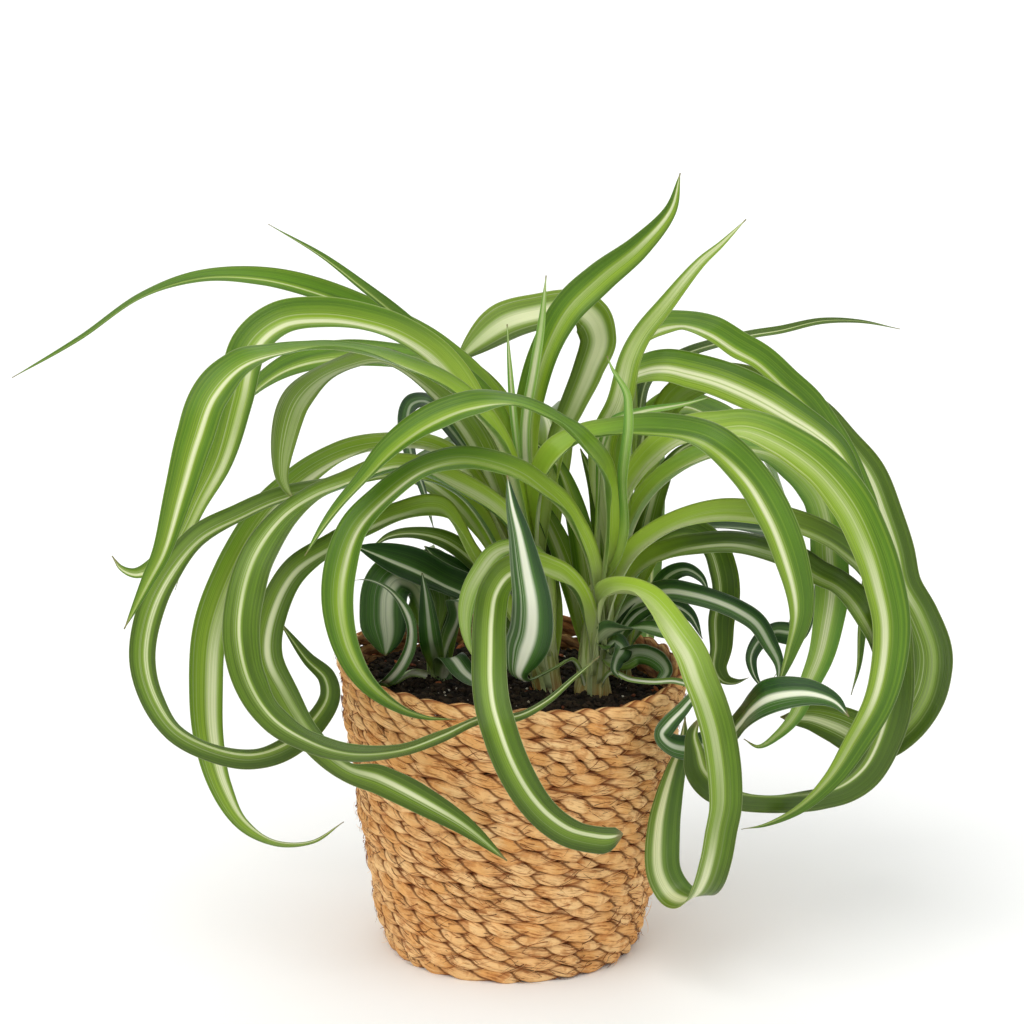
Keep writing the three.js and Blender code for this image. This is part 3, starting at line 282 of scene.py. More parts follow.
    ("leaf_back_right", "back", 14, 15, 0.5, "mid", [(56, -20, 36), (65, -14, 46), (77, -13, 58),
     (90, -12, 70), (102, -14, 80), (116, -20, 90), (133, -32, 99), (145, -44, 104), (151, -60, 106),
     (152, -80, 102), (144, -96, 94), (132, -104, 84)]),
    ("leaf_back_right_high", "back", 30, 14, 0.55, "bright", [(48, 24, 49), (66, 44, 58), (82, 40, 72),
     (97, 30, 91), (108, 12, 101), (115, -10, 108), (118, -34, 111), (114, -56, 107), (106, -70, 99)]),
    ("leaf_back_left_ring", "mid", 24, 15, 0.5, "mid", [(-2, 12, 30), (-12, 28, 42), (-26, 27, 58),
     (-42, 18, 74), (-56, 2, 88), (-66, -18, 98), (-70, -40, 102), (-64, -60, 98), (-52, -72, 90),
     (-38, -76, 80)]),
    ("leaf_back_left_far", "mid", 10, 16, 0.5, "mid", [(-12, -10, 28), (-27, 8, 29), (-46, 17, 40),
     (-70, 11, 52), (-93, -3, 62), (-106, -24, 70), (-110, -50, 74), (-105, -72, 72), (-94, -88, 64),
     (-82, -94, 56)]),
    ("leaf_back_left_high", "mid", 36, 15, 0.5, "bright", [(-2, 34, 26), (-20, 56, 34), (-44, 62, 48),
     (-70, 64, 60), (-94, 58, 70), (-112, 42, 77), (-124, 18, 80), (-131, -8, 78), (-138, -32, 72)]),
    ("leaf_back_straight", "mid", 22, 16, 0.5, "mid", [(15, 0, 22), (18, 28, 36), (15, 40, 62),
     (11, 38, 88), (7, 18, 108), (5, -12, 118), (5, -46, 116), (9, -72, 104), (14, -84, 90)]),
    ("leaf_back_low", "left", 12, 13, 0.5, "mid", [(-33, -30, 22), (-36, -20, 40), (-38, -16, 60),
     (-38, -22, 80), (-36, -38, 94), (-33, -58, 98), (-28, -74, 92), (-20, -82, 82)]),
]

# Slim young leaves that grow out of a shoot: the shoot, the full width and the route.
YOUNG_LEAVES = [
    ("mid", 5.85, [(9, -22, 3), (5, 34, 1), (9, 60, 1), (12, 77, 2), (14, 97, 2)]),
    ("mid", 3.6, [(9, -22, 2), (1, 34, -3), (-1, 60, -2), (-2, 77, -2)]),
    ("main", 6.75, [(36, -30, -1), (43, -22, -9), (47, -8, -22), (46, 14, -38), (47, 25, -48),
     (48, 34, -52), (48, 42, -52), (47, 49, -51), (41, 59, -49), (39, 64, -48)]),
    ("main", 5.1, [(36, -30, -1), (36, 5, 0), (37, 26, -4), (42, 37, -8), (53, 41, -10), (69, 44, -12),
     (81, 47, -12)]),
    ("main", 10.2, [(33, -56, -6), (40, -49, -15), (47, -48, -20), (56, -48, -24), (64, -50, -27),
     (70, -53, -29)]),
    ("main", 10.8, [(34, -57.8, -6), (41.4, -54.1, -12, -40), (44.7, -55.8, -15, -50),
     (42.6, -59.9, -18, -50), (41.8, -64.8, -20, -45), (45.1, -68.9, -21, -45)]),
    ("main", 13, [(36.1, -59.9, -4), (44.3, -59.4, -10, 35), (50, -56.6, -13, 45), (57, -57.4, -16, 50),
     (62.3, -61.1, -19, 52), (64, -65.6, -21, 55), (60.3, -69.7, -22, 60), (54.9, -68.9, -22, 60)]),
]

# Short inner leaves between the shoots, which only show in gaps: shoot, full width, colour and route.
INNER_LEAVES = [
    ("mid", 11, "mid", [(-4, -34, 17), (-14, -22, 18), (-27, -12, 19, 40), (-39, -9, 20, 50),
     (-50, -10, 21, 40), (-58, -15, 22)]),
    ("back", 10, "dark", [(59, -36, 30), (64, -27, 31), (71, -24, 32, -40), (77, -27, 33, -40),
     (81, -34, 33)]),
    ("main", 13, "bright", [(30, -56, 6), (24, -30, 9, 30), (16, -8, 11, 30), (8, 6, 13, 40),
     (-2, 14, 14)]),
    ("main", 12, "bright", [(33, -52, 8), (30, -24, 10, 15), (25, 2, 12, 15), (18, 20, 13, 30),
     (8, 30, 14)]),
    ("back", 12, "mid", [(42, -40, 26), (38, -14, 30, 10), (34, 10, 33, 20), (28, 26, 36)]),
    ("back", 12, "mid", [(50, -36, 28), (54, -12, 32, -10), (60, 10, 35, -20), (68, 24, 38, -40),
     (78, 30, 42)]),
    ("mid", 12, "mid", [(16, -50, 9), (12, -22, 12, 10), (4, 4, 14, 20), (-6, 22, 16, 40),
     (-18, 30, 18)]),
    ("mid", 11, "dark", [(4, -48, 12), (-8, -32, 16, 30), (-20, -26, 20, 50), (-32, -30, 24, 30),
     (-40, -40, 28)]),
    ("left", 10, "dark", [(-26, -48, 10), (-24, -36, 12, 0), (-26, -24, 14, 20), (-33, -17, 17, 40),
     (-42, -20, 20)]),
    ("main", 11, "dark", [(44, -52, 4), (52, -42, 6, -40), (62, -38, 8, -45), (72, -42, 10, -30),
     (78, -52, 11)]),
]

# The point that a leaf sets off towards, where that isn't the first of its route.
SET_OFF = {
    "leaf_front_hanging": (29, -42, -12),
    "leaf_front_upright": (25, -61, -17),
    "leaf_right_spiral": (52, -58, -23),
    "leaf_soil_upright": (-38, -50, -11),
}
# Shares of its length between which a leaf that widens late does so.
LATE_WIDTHS = {
    "leaf_right_spiral": (0.2, 0.75),
    "leaf_right_hook": (0, 0.5),
    "leaf_top_fold": (0, 0.9),
    "leaf_front_upright": (0.35, 0.52),
}
BASE_WIDTHS = {"leaf_right_spiral": 3, "leaf_front_upright": 3, "leaf_top_fold": 7, "leaf_soil_pale": 4}

# A stripe is half its width and how far it lies off the middle, both as shares of the half leaf, how
# strongly fine lines cross it, and how far the lower face has its own paler look.
COMMON_STRIPES = {
    "bright": (0.1, 0.3, 1.0),
    "mid": (0.11, 0.26, 1.0),
    "dark": (0.14, 0.1, 0.5),
    "pale": (0.26, 0.1, 0.9),
}
YOUNG_STRIPE = (0.3, 0, 0.5, 1)
INNER_STRIPE = (0.16, 0.1, 0.8, 1)
STRIPES = {
    "leaf_front_upright": (0.2, 0, 0, 0),
    "leaf_top_right_tall": (0.36, 0.1, 0.9, 1),
    "leaf_front_hanging": (0.11, 0.05, 0.5, 1),
    "leaf_front_right": (0.2, -0.3, 0.9, 0.3),
    "leaf_left_loop_low": (0.14, 0, 0.2, 0.3),
    "leaf_left_dark_curl": (0.3, 0.4, 0.6, 1),
    "leaf_left_arch_front": (0.15, 0.18, 0.9, 1),
    "leaf_left_arch_back": (0.2, 0.4, 1, 1),
    "leaf_left_long": (0.05, 0.3, 1, 1),
    "leaf_left_hanging": (0.22, 0.3, 0.7, 0.1),
    "leaf_top_right_far": (0.05, 0.1, 0.2, 0.3),
    "leaf_right_outer": (0.16, 0.1, 0.8, 1),
    "leaf_right_largest": (0.26, -0.3, 0.8, 1),
    "leaf_soil_wide": (0.32, 0.15, 0.6, 0.4),
    "leaf_soil_pale": (0.14, 0, 0.5, 0.3),
    "leaf_soil_curl": (0.3, 0, 0.4, 0.4),
    "leaf_soil_upright": (0.2, 0, 0.2, 0.2),
    "leaf_soil_flat": (0.25, 0.1, 0.4, 0.4),
    "leaf_top_tall": (0.18, -0.1, 0.6, 1),
    "leaf_top_fold": (0.28, -0.05, 0.4, 0),
    "leaf_right_dark_stripe": (0.26, 0, 0.2, 0.5),
    "leaf_right_spiral": (0.15, 0, 0.2, 1),
    "leaf_top_right_wide": (0.24, -0.1, 0.9, 1),
}
# Leaves that look like those of another colour.
FINISHES = {
    "leaf_right_outer": "mid",
    "leaf_left_dark_curl": "mid",
    "leaf_front_right": "mid",
    "leaf_top_fold": "mid",
    "leaf_top_right_far": "mid",
    "leaf_soil_pale": "dark",
}
LEAF_SLOTS = {"bright": "leaf_bright", "mid": "leaf_green", "dark": "leaf_dark", "pale": "leaf_pale"}

# ---- small helpers ----


def smoothstep(value, low, high):
    share = np.clip((np.asarray(value, float) - low) / (high - low), 0, 1)
    return share * share * (3 - 2 * share)


def unit(vectors):
    return vectors / np.linalg.norm(vectors, axis=-1, keepdims=True)


def srgb(red, green, blue):
    """A colour given as 0 to 255 values, as the linear colour that shaders take."""
    def linear(value):
        value /= 255
        return value / 12.92 if value <= 0.04045 else ((value + 0.055) / 1.055) ** 2.4
    return (linear(red), linear(green), linear(blue), 1.0)


def drawn(u, v, y, *_):
    """The point at depth y on the sight line through (u, v) of the picture plane."""
    plane = np.array([u, v * math.sin(SIGHT_TILT), SIGHT_HEIGHT + v * math.cos(SIGHT_TILT)])
    return EYE + (plane - EYE) * (y - EYE[1]) / (plane[1] - EYE[1])


def make_mesh(name, points, faces, marks, material, smooth=True):
    """A mesh object from points in millimetres, with float marks on its points for the material."""
    mesh = bpy.data.meshes.new(name)
    mesh.from_pydata((np.asarray(points) * MM).tolist(), [], faces)
    for mark, values in marks.items():
        layer = mesh.attributes.new(mark, "FLOAT", "POINT")
        layer.data.foreach_set("value", np.asarray(values, np.float32).ravel())
    mesh.polygons.foreach_set("use_smooth", [smooth] * len(mesh.polygons))
    mesh.materials.append(material)
    mesh.update()
    made = bpy.data.objects.new(name, mesh)
    bpy.context.scene.collection.objects.link(made)
    return made


def belong(made, slot, *nodes):
    """The piece rides on the plant and stands for the frame's nodes. The slot is not used."""
    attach(made, "root")
    if nodes:
        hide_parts(*nodes)


def tube_faces(rows, count):
    """Quads between rings of points, each of them count points round."""
    faces = []
    for row in range(rows - 1):
        for k in range(count):
            a = row * count + k
            b = row * count + (k + 1) % count
            faces.append((a, b, b + count, a + count))
    return faces


def end_faces(rows, count):
    """The two faces that close a tube of rings, the first ring's and the last ring's."""
    last = (rows - 1) * count
    return [tuple(range(count))[::-1], tuple(last + k for k in range(count))]


def ring(x, y, radius, angle, z):
    """Points round an upright axis. The radius and z may change with the angle."""
    return np.stack([x + radius * np.cos(angle), y + radius * np.sin(angle), z + 0 * angle], axis=1)


# ---- materials ----


class Recipe:
    """A material under construction: adds nodes and joins them up."""

    def __init__(self, name):
        self.material = bpy.data.materials.new(name)
        self.material.use_nodes = True
        self.tree = self.material.node_tree
        self.shader = self.tree.nodes["Principled BSDF"]

    def feed(self, socket, value):
        if isinstance(value, bpy.types.NodeSocket):
            self.tree.links.new(value, socket)
        else:
            socket.default_value = value

    def mark(self, name):
        node = self.tree.nodes.new("ShaderNodeAttribute")
        node.attribute_name = name
        return node.outputs["Fac"]

    def math(self, operation, *values):
        node = self.tree.nodes.new("ShaderNodeMath")
        node.operation = operation
        for socket, value in zip(node.inputs, values):
            self.feed(socket, value)
        return node.outputs[0]

    def times(self, first, second):
        return self.math("MULTIPLY", first, second)

    def times_plus(self, first, second, rest):
        return self.math("MULTIPLY_ADD", first, second, rest)

    def ramp(self, value, low, high, end=1.0, start=0.0):
        """A smooth step from start to end while the value goes from low to high."""
        node = self.tree.nodes.new("ShaderNodeMapRange")
        node.interpolation_type = "SMOOTHSTEP"
        settings = {"Value": value, "From Min": low, "From Max": high, "To Min": start, "To Max": end}
        for key, item in settings.items():
            self.feed(node.inputs[key], item)
        return node.outputs[0]

    def noise(self, place, detail=2.0, scale=1.0, roughness=0.5):
        """Smooth noise at a place, which is a socket or three coordinates."""
        if isinstance(place, tuple):
            node = self.tree.nodes.new("ShaderNodeCombineXYZ")
            for socket, value in zip(node.inputs, place):
                self.feed(socket, value)
            place = node.outputs[0]
        node = self.tree.nodes.new("ShaderNodeTexNoise")
        self.feed(node.inputs["Vector"], place)
        node.inputs["Scale"].default_value = scale
        node.inputs["Detail"].default_value = detail
        node.inputs["Roughness"].default_value = roughness
        return node.outputs["Fac"]

    def mix(self, share, first, second):
        node = self.tree.nodes.new("ShaderNodeMix")
        node.data_type = "RGBA"
        self.feed(node.inputs[0], share)
        self.feed(node.inputs[6], first)
        self.feed(node.inputs[7], second)
        return node.outputs[2]

    def layers(self, colour, *layers):
        """The colour with others laid over it, each by its own share."""
        for share, over in layers:
            colour = self.mix(share, colour, over)
        return colour

    def place(self):
        node = self.tree.nodes.new("ShaderNodeTexCoord")
        return node.outputs["Object"]

    def bump(self, height, strength, distance):
        node = self.tree.nodes.new("ShaderNodeBump")
        node.inputs["Strength"].default_value = strength
        node.inputs["Distance"].default_value = distance
        self.feed(node.inputs["Height"], height)
        self.tree.links.new(node.outputs[0], self.shader.inputs["Normal"])

    def finish(self, colour, roughness, **rest):
        self.feed(self.shader.inputs["Base Color"], colour)
        self.shader.inputs["Roughness"].default_value = roughness
        for key, value in rest.items():
            self.shader.inputs[key.replace("_", " ")].default_value = value
        return self.material


# colours as 0 to 255 values
LIME = srgb(186, 218, 76)           # a leaf near its base
SHEATH_EDGE = srgb(96, 112, 44)     # between two wrapped leaf bases
FOOT_STAIN = srgb(150, 104, 52)     # a shoot just above the soil
FOOT_BROWN = srgb(78, 48, 26)       # a shoot at the soil
STAINED_GRASS = srgb(200, 132, 70)
DRY_GRASS = srgb(252, 220, 166)
PLY_CREVICE_SHADE = srgb(138, 72, 30)     # painted shade in the crevice between two humps of the rope
COIL_GROOVE_SHADE = srgb(134, 68, 30)          # painted shade in the groove between two coils
INNER_SHADE = srgb(118, 58, 32)     # painted shade on the side towards the soil

# Each kind of leaf: its green, where it darkens, where it yellows, its stripe, its lower face and the
# stripe there. What a row leaves out comes from the panel.
LEAF_TONES = {
    "bright": {"deep": (56, 88, 6), "young": (152, 178, 50), "under": (116, 150, 66),
               "under_cream": (206, 214, 162)},
    "mid": {"deep": (48, 68, 4), "young": (132, 160, 50), "under": (98, 134, 66),
            "under_cream": (196, 206, 154)},
    "dark": {"deep": (22, 52, 20), "young": (88, 130, 54), "cream": (230, 234, 210), "under": (78, 112, 66),
             "under_cream": (184, 196, 152)},
    "pale": {"green": (116, 156, 56), "deep": (78, 124, 36), "young": (168, 194, 84), "under": (146, 174, 98),
             "under_cream": (212, 218, 168)},
    "slim": {"green": (112, 158, 56), "deep": (78, 128, 44), "young": (150, 186, 80), "under": (148, 176, 96),
             "under_cream": (204, 214, 156)},
}
DARK_PALENESS = 0.4                 # how far a dark leaf pales towards its base, as a share of the others


def leaf_material(name, tones, tip, paleness):
    """Waxy striped leaf: marks across and along the blade place its stripes, margins and tip."""
    leaf = Recipe(name)
    times = leaf.times
    ramp = leaf.ramp
    across, along, reach, seed = (leaf.mark(mark) for mark in ("across", "along", "reach", "seed"))
    edge = leaf.math("ABSOLUTE", across)
    base = ramp(along, 0.42, 0.06, paleness)

    def drift(pace, offset):
        """Slow noise along the leaf, a different one for each offset."""
        return leaf.noise((leaf.math("ADD", seed, offset), times(reach, pace), 0), 1)

    def fibre(wide, long, detail=1):
        """Noise that is drawn out along the leaf."""
        return leaf.noise((times(across, wide), times(reach, long), seed), detail)

    lanes = leaf.times_plus(across, 11, times(seed, 7))
    # fine lines and blotches of the leaf's own fibres
    streaks = leaf.noise((lanes, times(reach, 2.5), seed), 2, roughness=0.6)
    hair = leaf.noise((leaf.times_plus(across, 24, seed), times(reach, 5), 1), 1)
    patches = fibre(1, 22, 2)
    lines = ramp(streaks, 0.5, 0.64, leaf.mark("lined"))

    # the stripe: it strays sideways, is wider and narrower by turns, and widens towards the base
    shifted = leaf.math("SUBTRACT", leaf.math("ADD", across, leaf.mark("shift")), 0.12)
    half = times(leaf.mark("stripe"), ramp(drift(6, 40), 0.25, 0.75, 1.4, 0.65))
    half = times(half, leaf.times_plus(base, 2.2, 1))
    place = leaf.math("DIVIDE", leaf.times_plus(drift(9, 0), 0.24, shifted), half)
    centred = leaf.math("ABSOLUTE", place)
    inside = ramp(centred, 1.6, 0.5, ramp(drift(11, 80), 0.36, 0.58, 1, 0.6 - 0.4 * paleness))
    # beside the stripe the green turns to yellow, further on one side than on the other
    glow = leaf.math("MINIMUM", ramp(place, 6.5, 0.6), ramp(place, -3.2, -0.6))
    whole = times(inside, leaf.times_plus(lines, -0.6, 1))
    fringe = ramp(streaks, 0.44, 0.34, times(glow, 0.4))

    deep = tones["deep"]
    cream = tones["cream"]
    upper = leaf.layers(
        tones["green"],
        (ramp(patches, 0.35, 0.7, 0.42), deep),
        (ramp(fibre(3, 4), 0.42, 0.64, 0.42), deep),
        (ramp(edge, 0.4, 0.95, 0.35), deep),
        (ramp(along, 0.4, 0.95, 0.45), deep),
        (ramp(streaks, 0.56, 0.4, 0.2), deep),
        (ramp(streaks, 0.52, 0.7, 0.2), tones["young"]),
        (times(glow, ramp(hair, 0.35, 0.62, 0.85, 0.32)), tones["young"]),
        (times(base, 0.86), LIME),
        (leaf.math("MAXIMUM", whole, fringe), cream),
        # a thin pale line along the very edge: painted highlight
        (ramp(edge, 0.95, 0.995, 0.25), cream),
    )
    lower = leaf.layers(
        tones["under"],
        (ramp(patches, 0.3, 0.75, 0.4), deep),
        (ramp(centred, 1.9, 0.8, leaf.times_plus(lines, -0.4, 1)), tones["under_cream"]),
    )
    skin = leaf.layers(
        upper,
        (leaf.mark("lower"), lower),
        (ramp(along, 0.12, 0, 0.7 * paleness), tones["under_cream"]),
        (ramp(leaf.times_plus(streaks, 0.03, along), 0.995, 1.012), tip),
    )
    leaf.bump(leaf.times_plus(fibre(1.3, 60), 2.5, fibre(26, 3)), 0.4, 0.0005)
    return leaf.finish(skin, 0.36, Specular_IOR_Level=0.32, Subsurface_Weight=0.1,
                       Subsurface_Radius=(0.0015, 0.002, 0.0006), Subsurface_Scale=1)


def leaf_materials(looks):
    """A striped finish for each kind of leaf."""
    panel = {"bright": looks.bright_green, "mid": looks.green, "dark": looks.dark_green}
    materials = {}
    for kind, parts in LEAF_TONES.items():
        tones = {"cream": tuple(looks.cream)} | {part: srgb(*tone) for part, tone in parts.items()}
        if kind in panel:
            tones["green"] = tuple(panel[kind])
        paleness = DARK_PALENESS if kind == "dark" else 1
        name = LEAF_SLOTS.get(kind, "leaf_young")
        materials[kind] = leaf_material(name, tones, tuple(looks.dry_tip), paleness)
    return materials


def shoot_material(name, pale, deep):
    """Wrapped leaf bases, orange-brown where they enter the soil."""
    shoot = Recipe(name)
    height = shoot.mark("along")
    streaks = shoot.noise((shoot.times(shoot.mark("across"), 14), height, 3), 3)
    body = shoot.layers(
        deep,
        (shoot.ramp(streaks, 0.35, 0.65), pale),
        (shoot.ramp(shoot.mark("ridge"), 0.25, 0, 0.7), SHEATH_EDGE),
        (shoot.ramp(shoot.times_plus(streaks, 0.35, height), 0.62, 0.3), FOOT_STAIN),
        (shoot.ramp(height, 0.22, 0.08), FOOT_BROWN),
    )
    shoot.bump(streaks, 0.4, 0.0005)
    return shoot.finish(body, 0.5, Subsurface_Weight=0.1, Subsurface_Radius=(0.002, 0.002, 0.001),
                        Subsurface_Scale=1)


def rope_material(looks):
    """Dry twisted grass: long fibres in each ply, painted shade in the grooves, each grain its own tone."""
    rope = Recipe("seagrass")
    # dark is the darker fibres' own colour, and it also paints the shade deep in the grooves
    dark = tuple(looks.straw_dark)
    run = rope.mark("run")
    depth = rope.mark("depth")
    own = rope.times(rope.mark("ply"), 9)
    tone = rope.noise((rope.times(run, 60), own, 0), 2)
    fibres = rope.noise((rope.times(run, 110), rope.times(rope.mark("lane"), 7.5), own), 3, roughness=0.7)
    blotch = rope.noise(rope.place(), 3, 210, 0.6)
    body = rope.layers(
        tuple(looks.straw),
        (rope.ramp(tone, 0.35, 0.65), tuple(looks.straw_light)),
        (rope.ramp(blotch, 0.5, 0.34, 0.6), STAINED_GRASS),
        (rope.ramp(fibres, 0.5, 0.34, 0.75), dark),
        (rope.ramp(fibres, 0.56, 0.74, 0.55), DRY_GRASS),
        # painted shade: the rope darkens deeper in the groove between two coils and in the crevice between
        # two humps
        (rope.ramp(depth, 0.55, 0.25, 0.7), dark),
        (rope.ramp(rope.mark("crest"), 0.34, 0.06, 0.7), PLY_CREVICE_SHADE),
        (rope.ramp(depth, 0.3, 0.02, 0.8), COIL_GROOVE_SHADE),
        # painted shade on the inside of the wall above the soil
        (rope.times(rope.mark("inner"), 0.75), INNER_SHADE),
    )
    rope.bump(rope.times_plus(blotch, 0.6, fibres), 0.9, 0.0013)
    return rope.finish(body, 0.8, Specular_IOR_Level=0.25)


def grain_material(name, low, high, roughness):
    """Loose grains or fibres, each with its own tone between two colours."""
    grain = Recipe(name)
    rough = grain.noise(grain.place(), 3, 900)
    body = grain.layers(low, (grain.mark("tone"), high), (grain.ramp(rough, 0.5, 0.3, 0.5), low))
    grain.bump(rough, 0.6, 0.0006)
    return grain.finish(body, roughness, Specular_IOR_Level=0.3)


def film_material(colour):
    """Creased plastic film."""
    film = Recipe("plastic_film")
    creases = film.noise(film.place(), 2, 90)
    film.bump(creases, 0.3, 0.001)
    return film.finish(film.mix(film.ramp(creases, 0.3, 0.7), colour, srgb(112, 70, 42)), 0.45)


# ---- basket ----


def basket_radius(z):
    share = np.clip(np.asarray(z, float) / BASKET_HEIGHT, 0, 1)
    return FOOT_RADIUS + ROUND_SPREAD * share ** SPREAD_POWER + EVEN_SPREAD * share


def hand_wave(angle, coil):
    """How far the hand that made the basket strayed outwards."""
    return 0.5 * np.sin(3 * angle + 1.7 * coil) + 0.4 * np.sin(5 * angle - 0.9 * coil)


def tilt_rim(points):
    tilted = np.array(points, float)
    tilted[:, 2] *= 1 - RIM_TILT * tilted[:, 0] / RIM_RADIUS
    return tilted


def wander_along(length, spacing, generator):
    """Smooth random values from -1 to 1 along a length, one free value per spacing."""
    knots = int(length[-1] / spacing) + 3
    values = np.array([generator.uniform(-1, 1) for _ in range(knots)])
    place = length / spacing
    index = place.astype(int)
    share = smoothstep(place - index, 0, 1)
    return values[index] * (1 - share) + values[index + 1] * share


def running_length(path):
    return np.concatenate([[0], np.cumsum(np.linalg.norm(np.diff(path, axis=0), axis=1))])


def rope_path(thickness, step, generator):
    """The rope's middle: a flat spiral for the base, then up the wall turn by turn."""
    start = math.pi / 2
    outmost = basket_radius(0) - thickness / 2
    base_turns = outmost / COIL_PITCH - 0.4
    share = np.linspace(0, 1, int(base_turns * 90))
    angle = start + TURN * (share - 1) * base_turns
    base = ring(0, 0, FIRST_TURN + (outmost - FIRST_TURN) * share, angle, thickness / 2)
    turns = np.linspace(0, COILS, COILS * 200)[1:]
    coil = np.clip(turns - 0.5, 0, COILS - 1)
    angle = start + TURN * turns
    height = COIL_PITCH * (coil + 0.5)
    wall = ring(0, 0, basket_radius(height) + hand_wave(angle, coil) - thickness / 2, angle, height)
    path = np.concatenate([base, wall])
    length = running_length(path)
    even = np.arange(0, length[-1], step)
    path = np.stack([np.interp(even, length, path[:, axis]) for axis in range(3)], axis=1)
    path[:, 2] += ROPE_RISE * wander_along(even, 28, generator) * np.clip(path[:, 2] / 12, 0, 1)
    return tilt_rim(path), even


def rope_basket(looks):
    """Two plies of grass twisted together: each is a round strand, pressed flat where it shows."""
    thickness = looks.rope_thickness / MM
    generator = random.Random(7)
    path, length = rope_path(thickness, looks.rope_step / MM, generator)
    out = unit(path * [1, 1, 0] + 1e-6)
    # made by hand: twisted looser here and tighter there, of thicker and thinner bundles
    slack = 0.3 * wander_along(length, 43, generator) + 0.11 * wander_along(length, 12, generator)
    twist = TURN * (length / (looks.twist_length / MM) + slack)
    fat = 1 + 0.09 * wander_along(length, 8, generator)
    ends = smoothstep(length, 0, 20) * smoothstep(length[-1] - length, 0, 40)
    fat *= 0.25 + 0.75 * ends
    # one hump of a ply after the other comes to the outside as the rope turns
    theta = TURN * np.arange(ROPE_SIDES) / ROPE_SIDES - math.pi
    phase = theta - GRAIN_LEAN * np.sin(theta) + twist[:, None]
    grain = np.floor(phase / math.pi + 0.5).astype(int)
    swell = np.array([generator.uniform(-1, 1) for _ in range(grain.max() - grain.min() + 1)])
    swell = swell[grain - grain.min()]
    crest = np.abs(np.cos(phase))
    strand = PLY_REACH * crest + np.sqrt(1 - (PLY_REACH * np.sin(phase)) ** 2)
    radius = thickness / 2 / (1 + PLY_REACH) * strand * (1 + GRAIN_SWELL * swell * crest) * fat[:, None]
    across = radius * np.cos(theta)
    rise = radius * np.sin(theta) * PRESSED
    points = path[:, None, :] + across[..., None] * out[:, None, :] + rise[..., None] * UP
    points[..., 2] = np.maximum(points[..., 2], 0)
    # how far along the rope, the hump's own tone, how high on the hump, which fibre of it, how far out
    # of the wall, and whether it faces the soil
    # crest and depth also place the painted shade in the rope's crevices and grooves
    marks = {
        "run": np.repeat(length[:, None] * MM, ROPE_SIDES, axis=1) + 0.37 * (grain % 2),
        "ply": swell,
        "crest": crest,
        "lane": (theta + 0.45 * phase) / math.pi,
        "depth": np.where(np.cos(theta) > 0, across, radius) / (thickness / 2),
        # inner places the painted shade on the inside of the wall
        "inner": smoothstep(-np.cos(theta), 0.2, 0.7) * (path[:, 2] > INNER_SEEN)[:, None],
    }
    faces = tube_faces(len(path), ROPE_SIDES) + end_faces(len(path), ROPE_SIDES)
    faces = [face[::-1] for face in faces]
    made = make_mesh("basket_rope", points.reshape(-1, 3), faces, marks, rope_material(looks))
    belong(made, "seagrass_rope", "basket")


def grass_strands(name, count, kind, colours, seed):
    """Thin fibres all round the basket: flat ones that bind the rope, and ends that stand off it."""
    generator = random.Random(seed)
    sides = 3
    steps = 7
    points = []
    faces = []
    tones = []
    for _ in range(count):
        coil = generator.randrange(COILS)
        z = COIL_PITCH * (coil + 0.5 + generator.uniform(-0.45, 0.45))
        angle = generator.uniform(0, TURN)
        start = float(basket_radius(z)) + float(hand_wave(angle, coil))
        out = np.array([math.cos(angle), math.sin(angle), 0])
        way = generator.choice((-1, 1))
        round_way = np.array([-math.sin(angle), math.cos(angle), 0]) * way
        length = generator.uniform(*kind["length"])
        lift = generator.uniform(*kind["lift"])
        slope = generator.uniform(*kind["slope"])
        curl = generator.uniform(-0.35, 0.35)
        thick = generator.uniform(*kind["thick"])
        tones.extend([generator.random()] * steps * sides)
        first = len(points)
        for step in range(steps):
            share = step / (steps - 1)
            high = z + length * (slope * share + curl * share * (1 - share))
            # it follows the coil's bulge up and down, and the basket's curve round
            off_crest = ((high / COIL_PITCH) % 1 - 0.5) * COIL_PITCH
            sunk = kind["cling"] * off_crest ** 2 / 5.5
            sag = (length * share) ** 2 / (2 * start)
            middle = (out * (start - 0.1 - sag - sunk + length * lift * share * (1 - 0.55 * share))
                      + round_way * length * share + UP * high)
            radius = thick * (1 - 0.7 * share)
            for k in range(sides):
                turn = TURN * k / sides
                points.append(middle + out * radius * math.cos(turn) + UP * radius * math.sin(turn))
        for face in tube_faces(steps, sides) + end_faces(steps, sides):
            faces.append(tuple(first + corner for corner in face[::-way]))
    points = tilt_rim(np.array(points))
    points[:, 2] = np.clip(points[:, 2], 0.3, BASKET_HEIGHT + 2)
    material = grain_material(name, *colours, 0.8)
    belong(make_mesh(name, points, faces, {"tone": tones}, material), "seagrass_rope")


def loose_fibres(looks):
    """Ends of grass that stand off the rope, and fibres that lie across it and bind it."""
    ends = {"length": (3, 12), "lift": (0.05, 0.4), "slope": (-0.6, 0.4), "thick": (0.08, 0.17), "cling": 0}
    binding = {"length": (4, 12), "lift": (0, 0.03), "slope": (-0.9, 0.9), "thick": (0.12, 0.24), "cling": 1}
    pale = (tuple(looks.straw), tuple(looks.straw_light))
    brown = (srgb(104, 56, 26), tuple(looks.straw_dark))
    grass_strands("basket_loose_fibres", looks.fibre_count, ends, pale, 21)
    grass_strands("basket_binding_fibres", looks.binding_count, binding, brown, 22)


# ---- soil ----


def soil_radius(z):
    return float(basket_radius(z)) - WALL - 2 * LINER_GAP - LINER_THICKNESS


def soil_height(x, y):
    reach = np.hypot(x, y) / soil_radius(SOIL_TOP)
    lumps = np.sin(0.31 * x + 1.1) * np.cos(0.27 * y) + 0.6 * np.sin(0.53 * y - 0.41 * x)
    return SOIL_TOP + SOIL_MOUND * (1 - reach * reach) + SOIL_LUMP * lumps * (1 - 0.6 * reach)


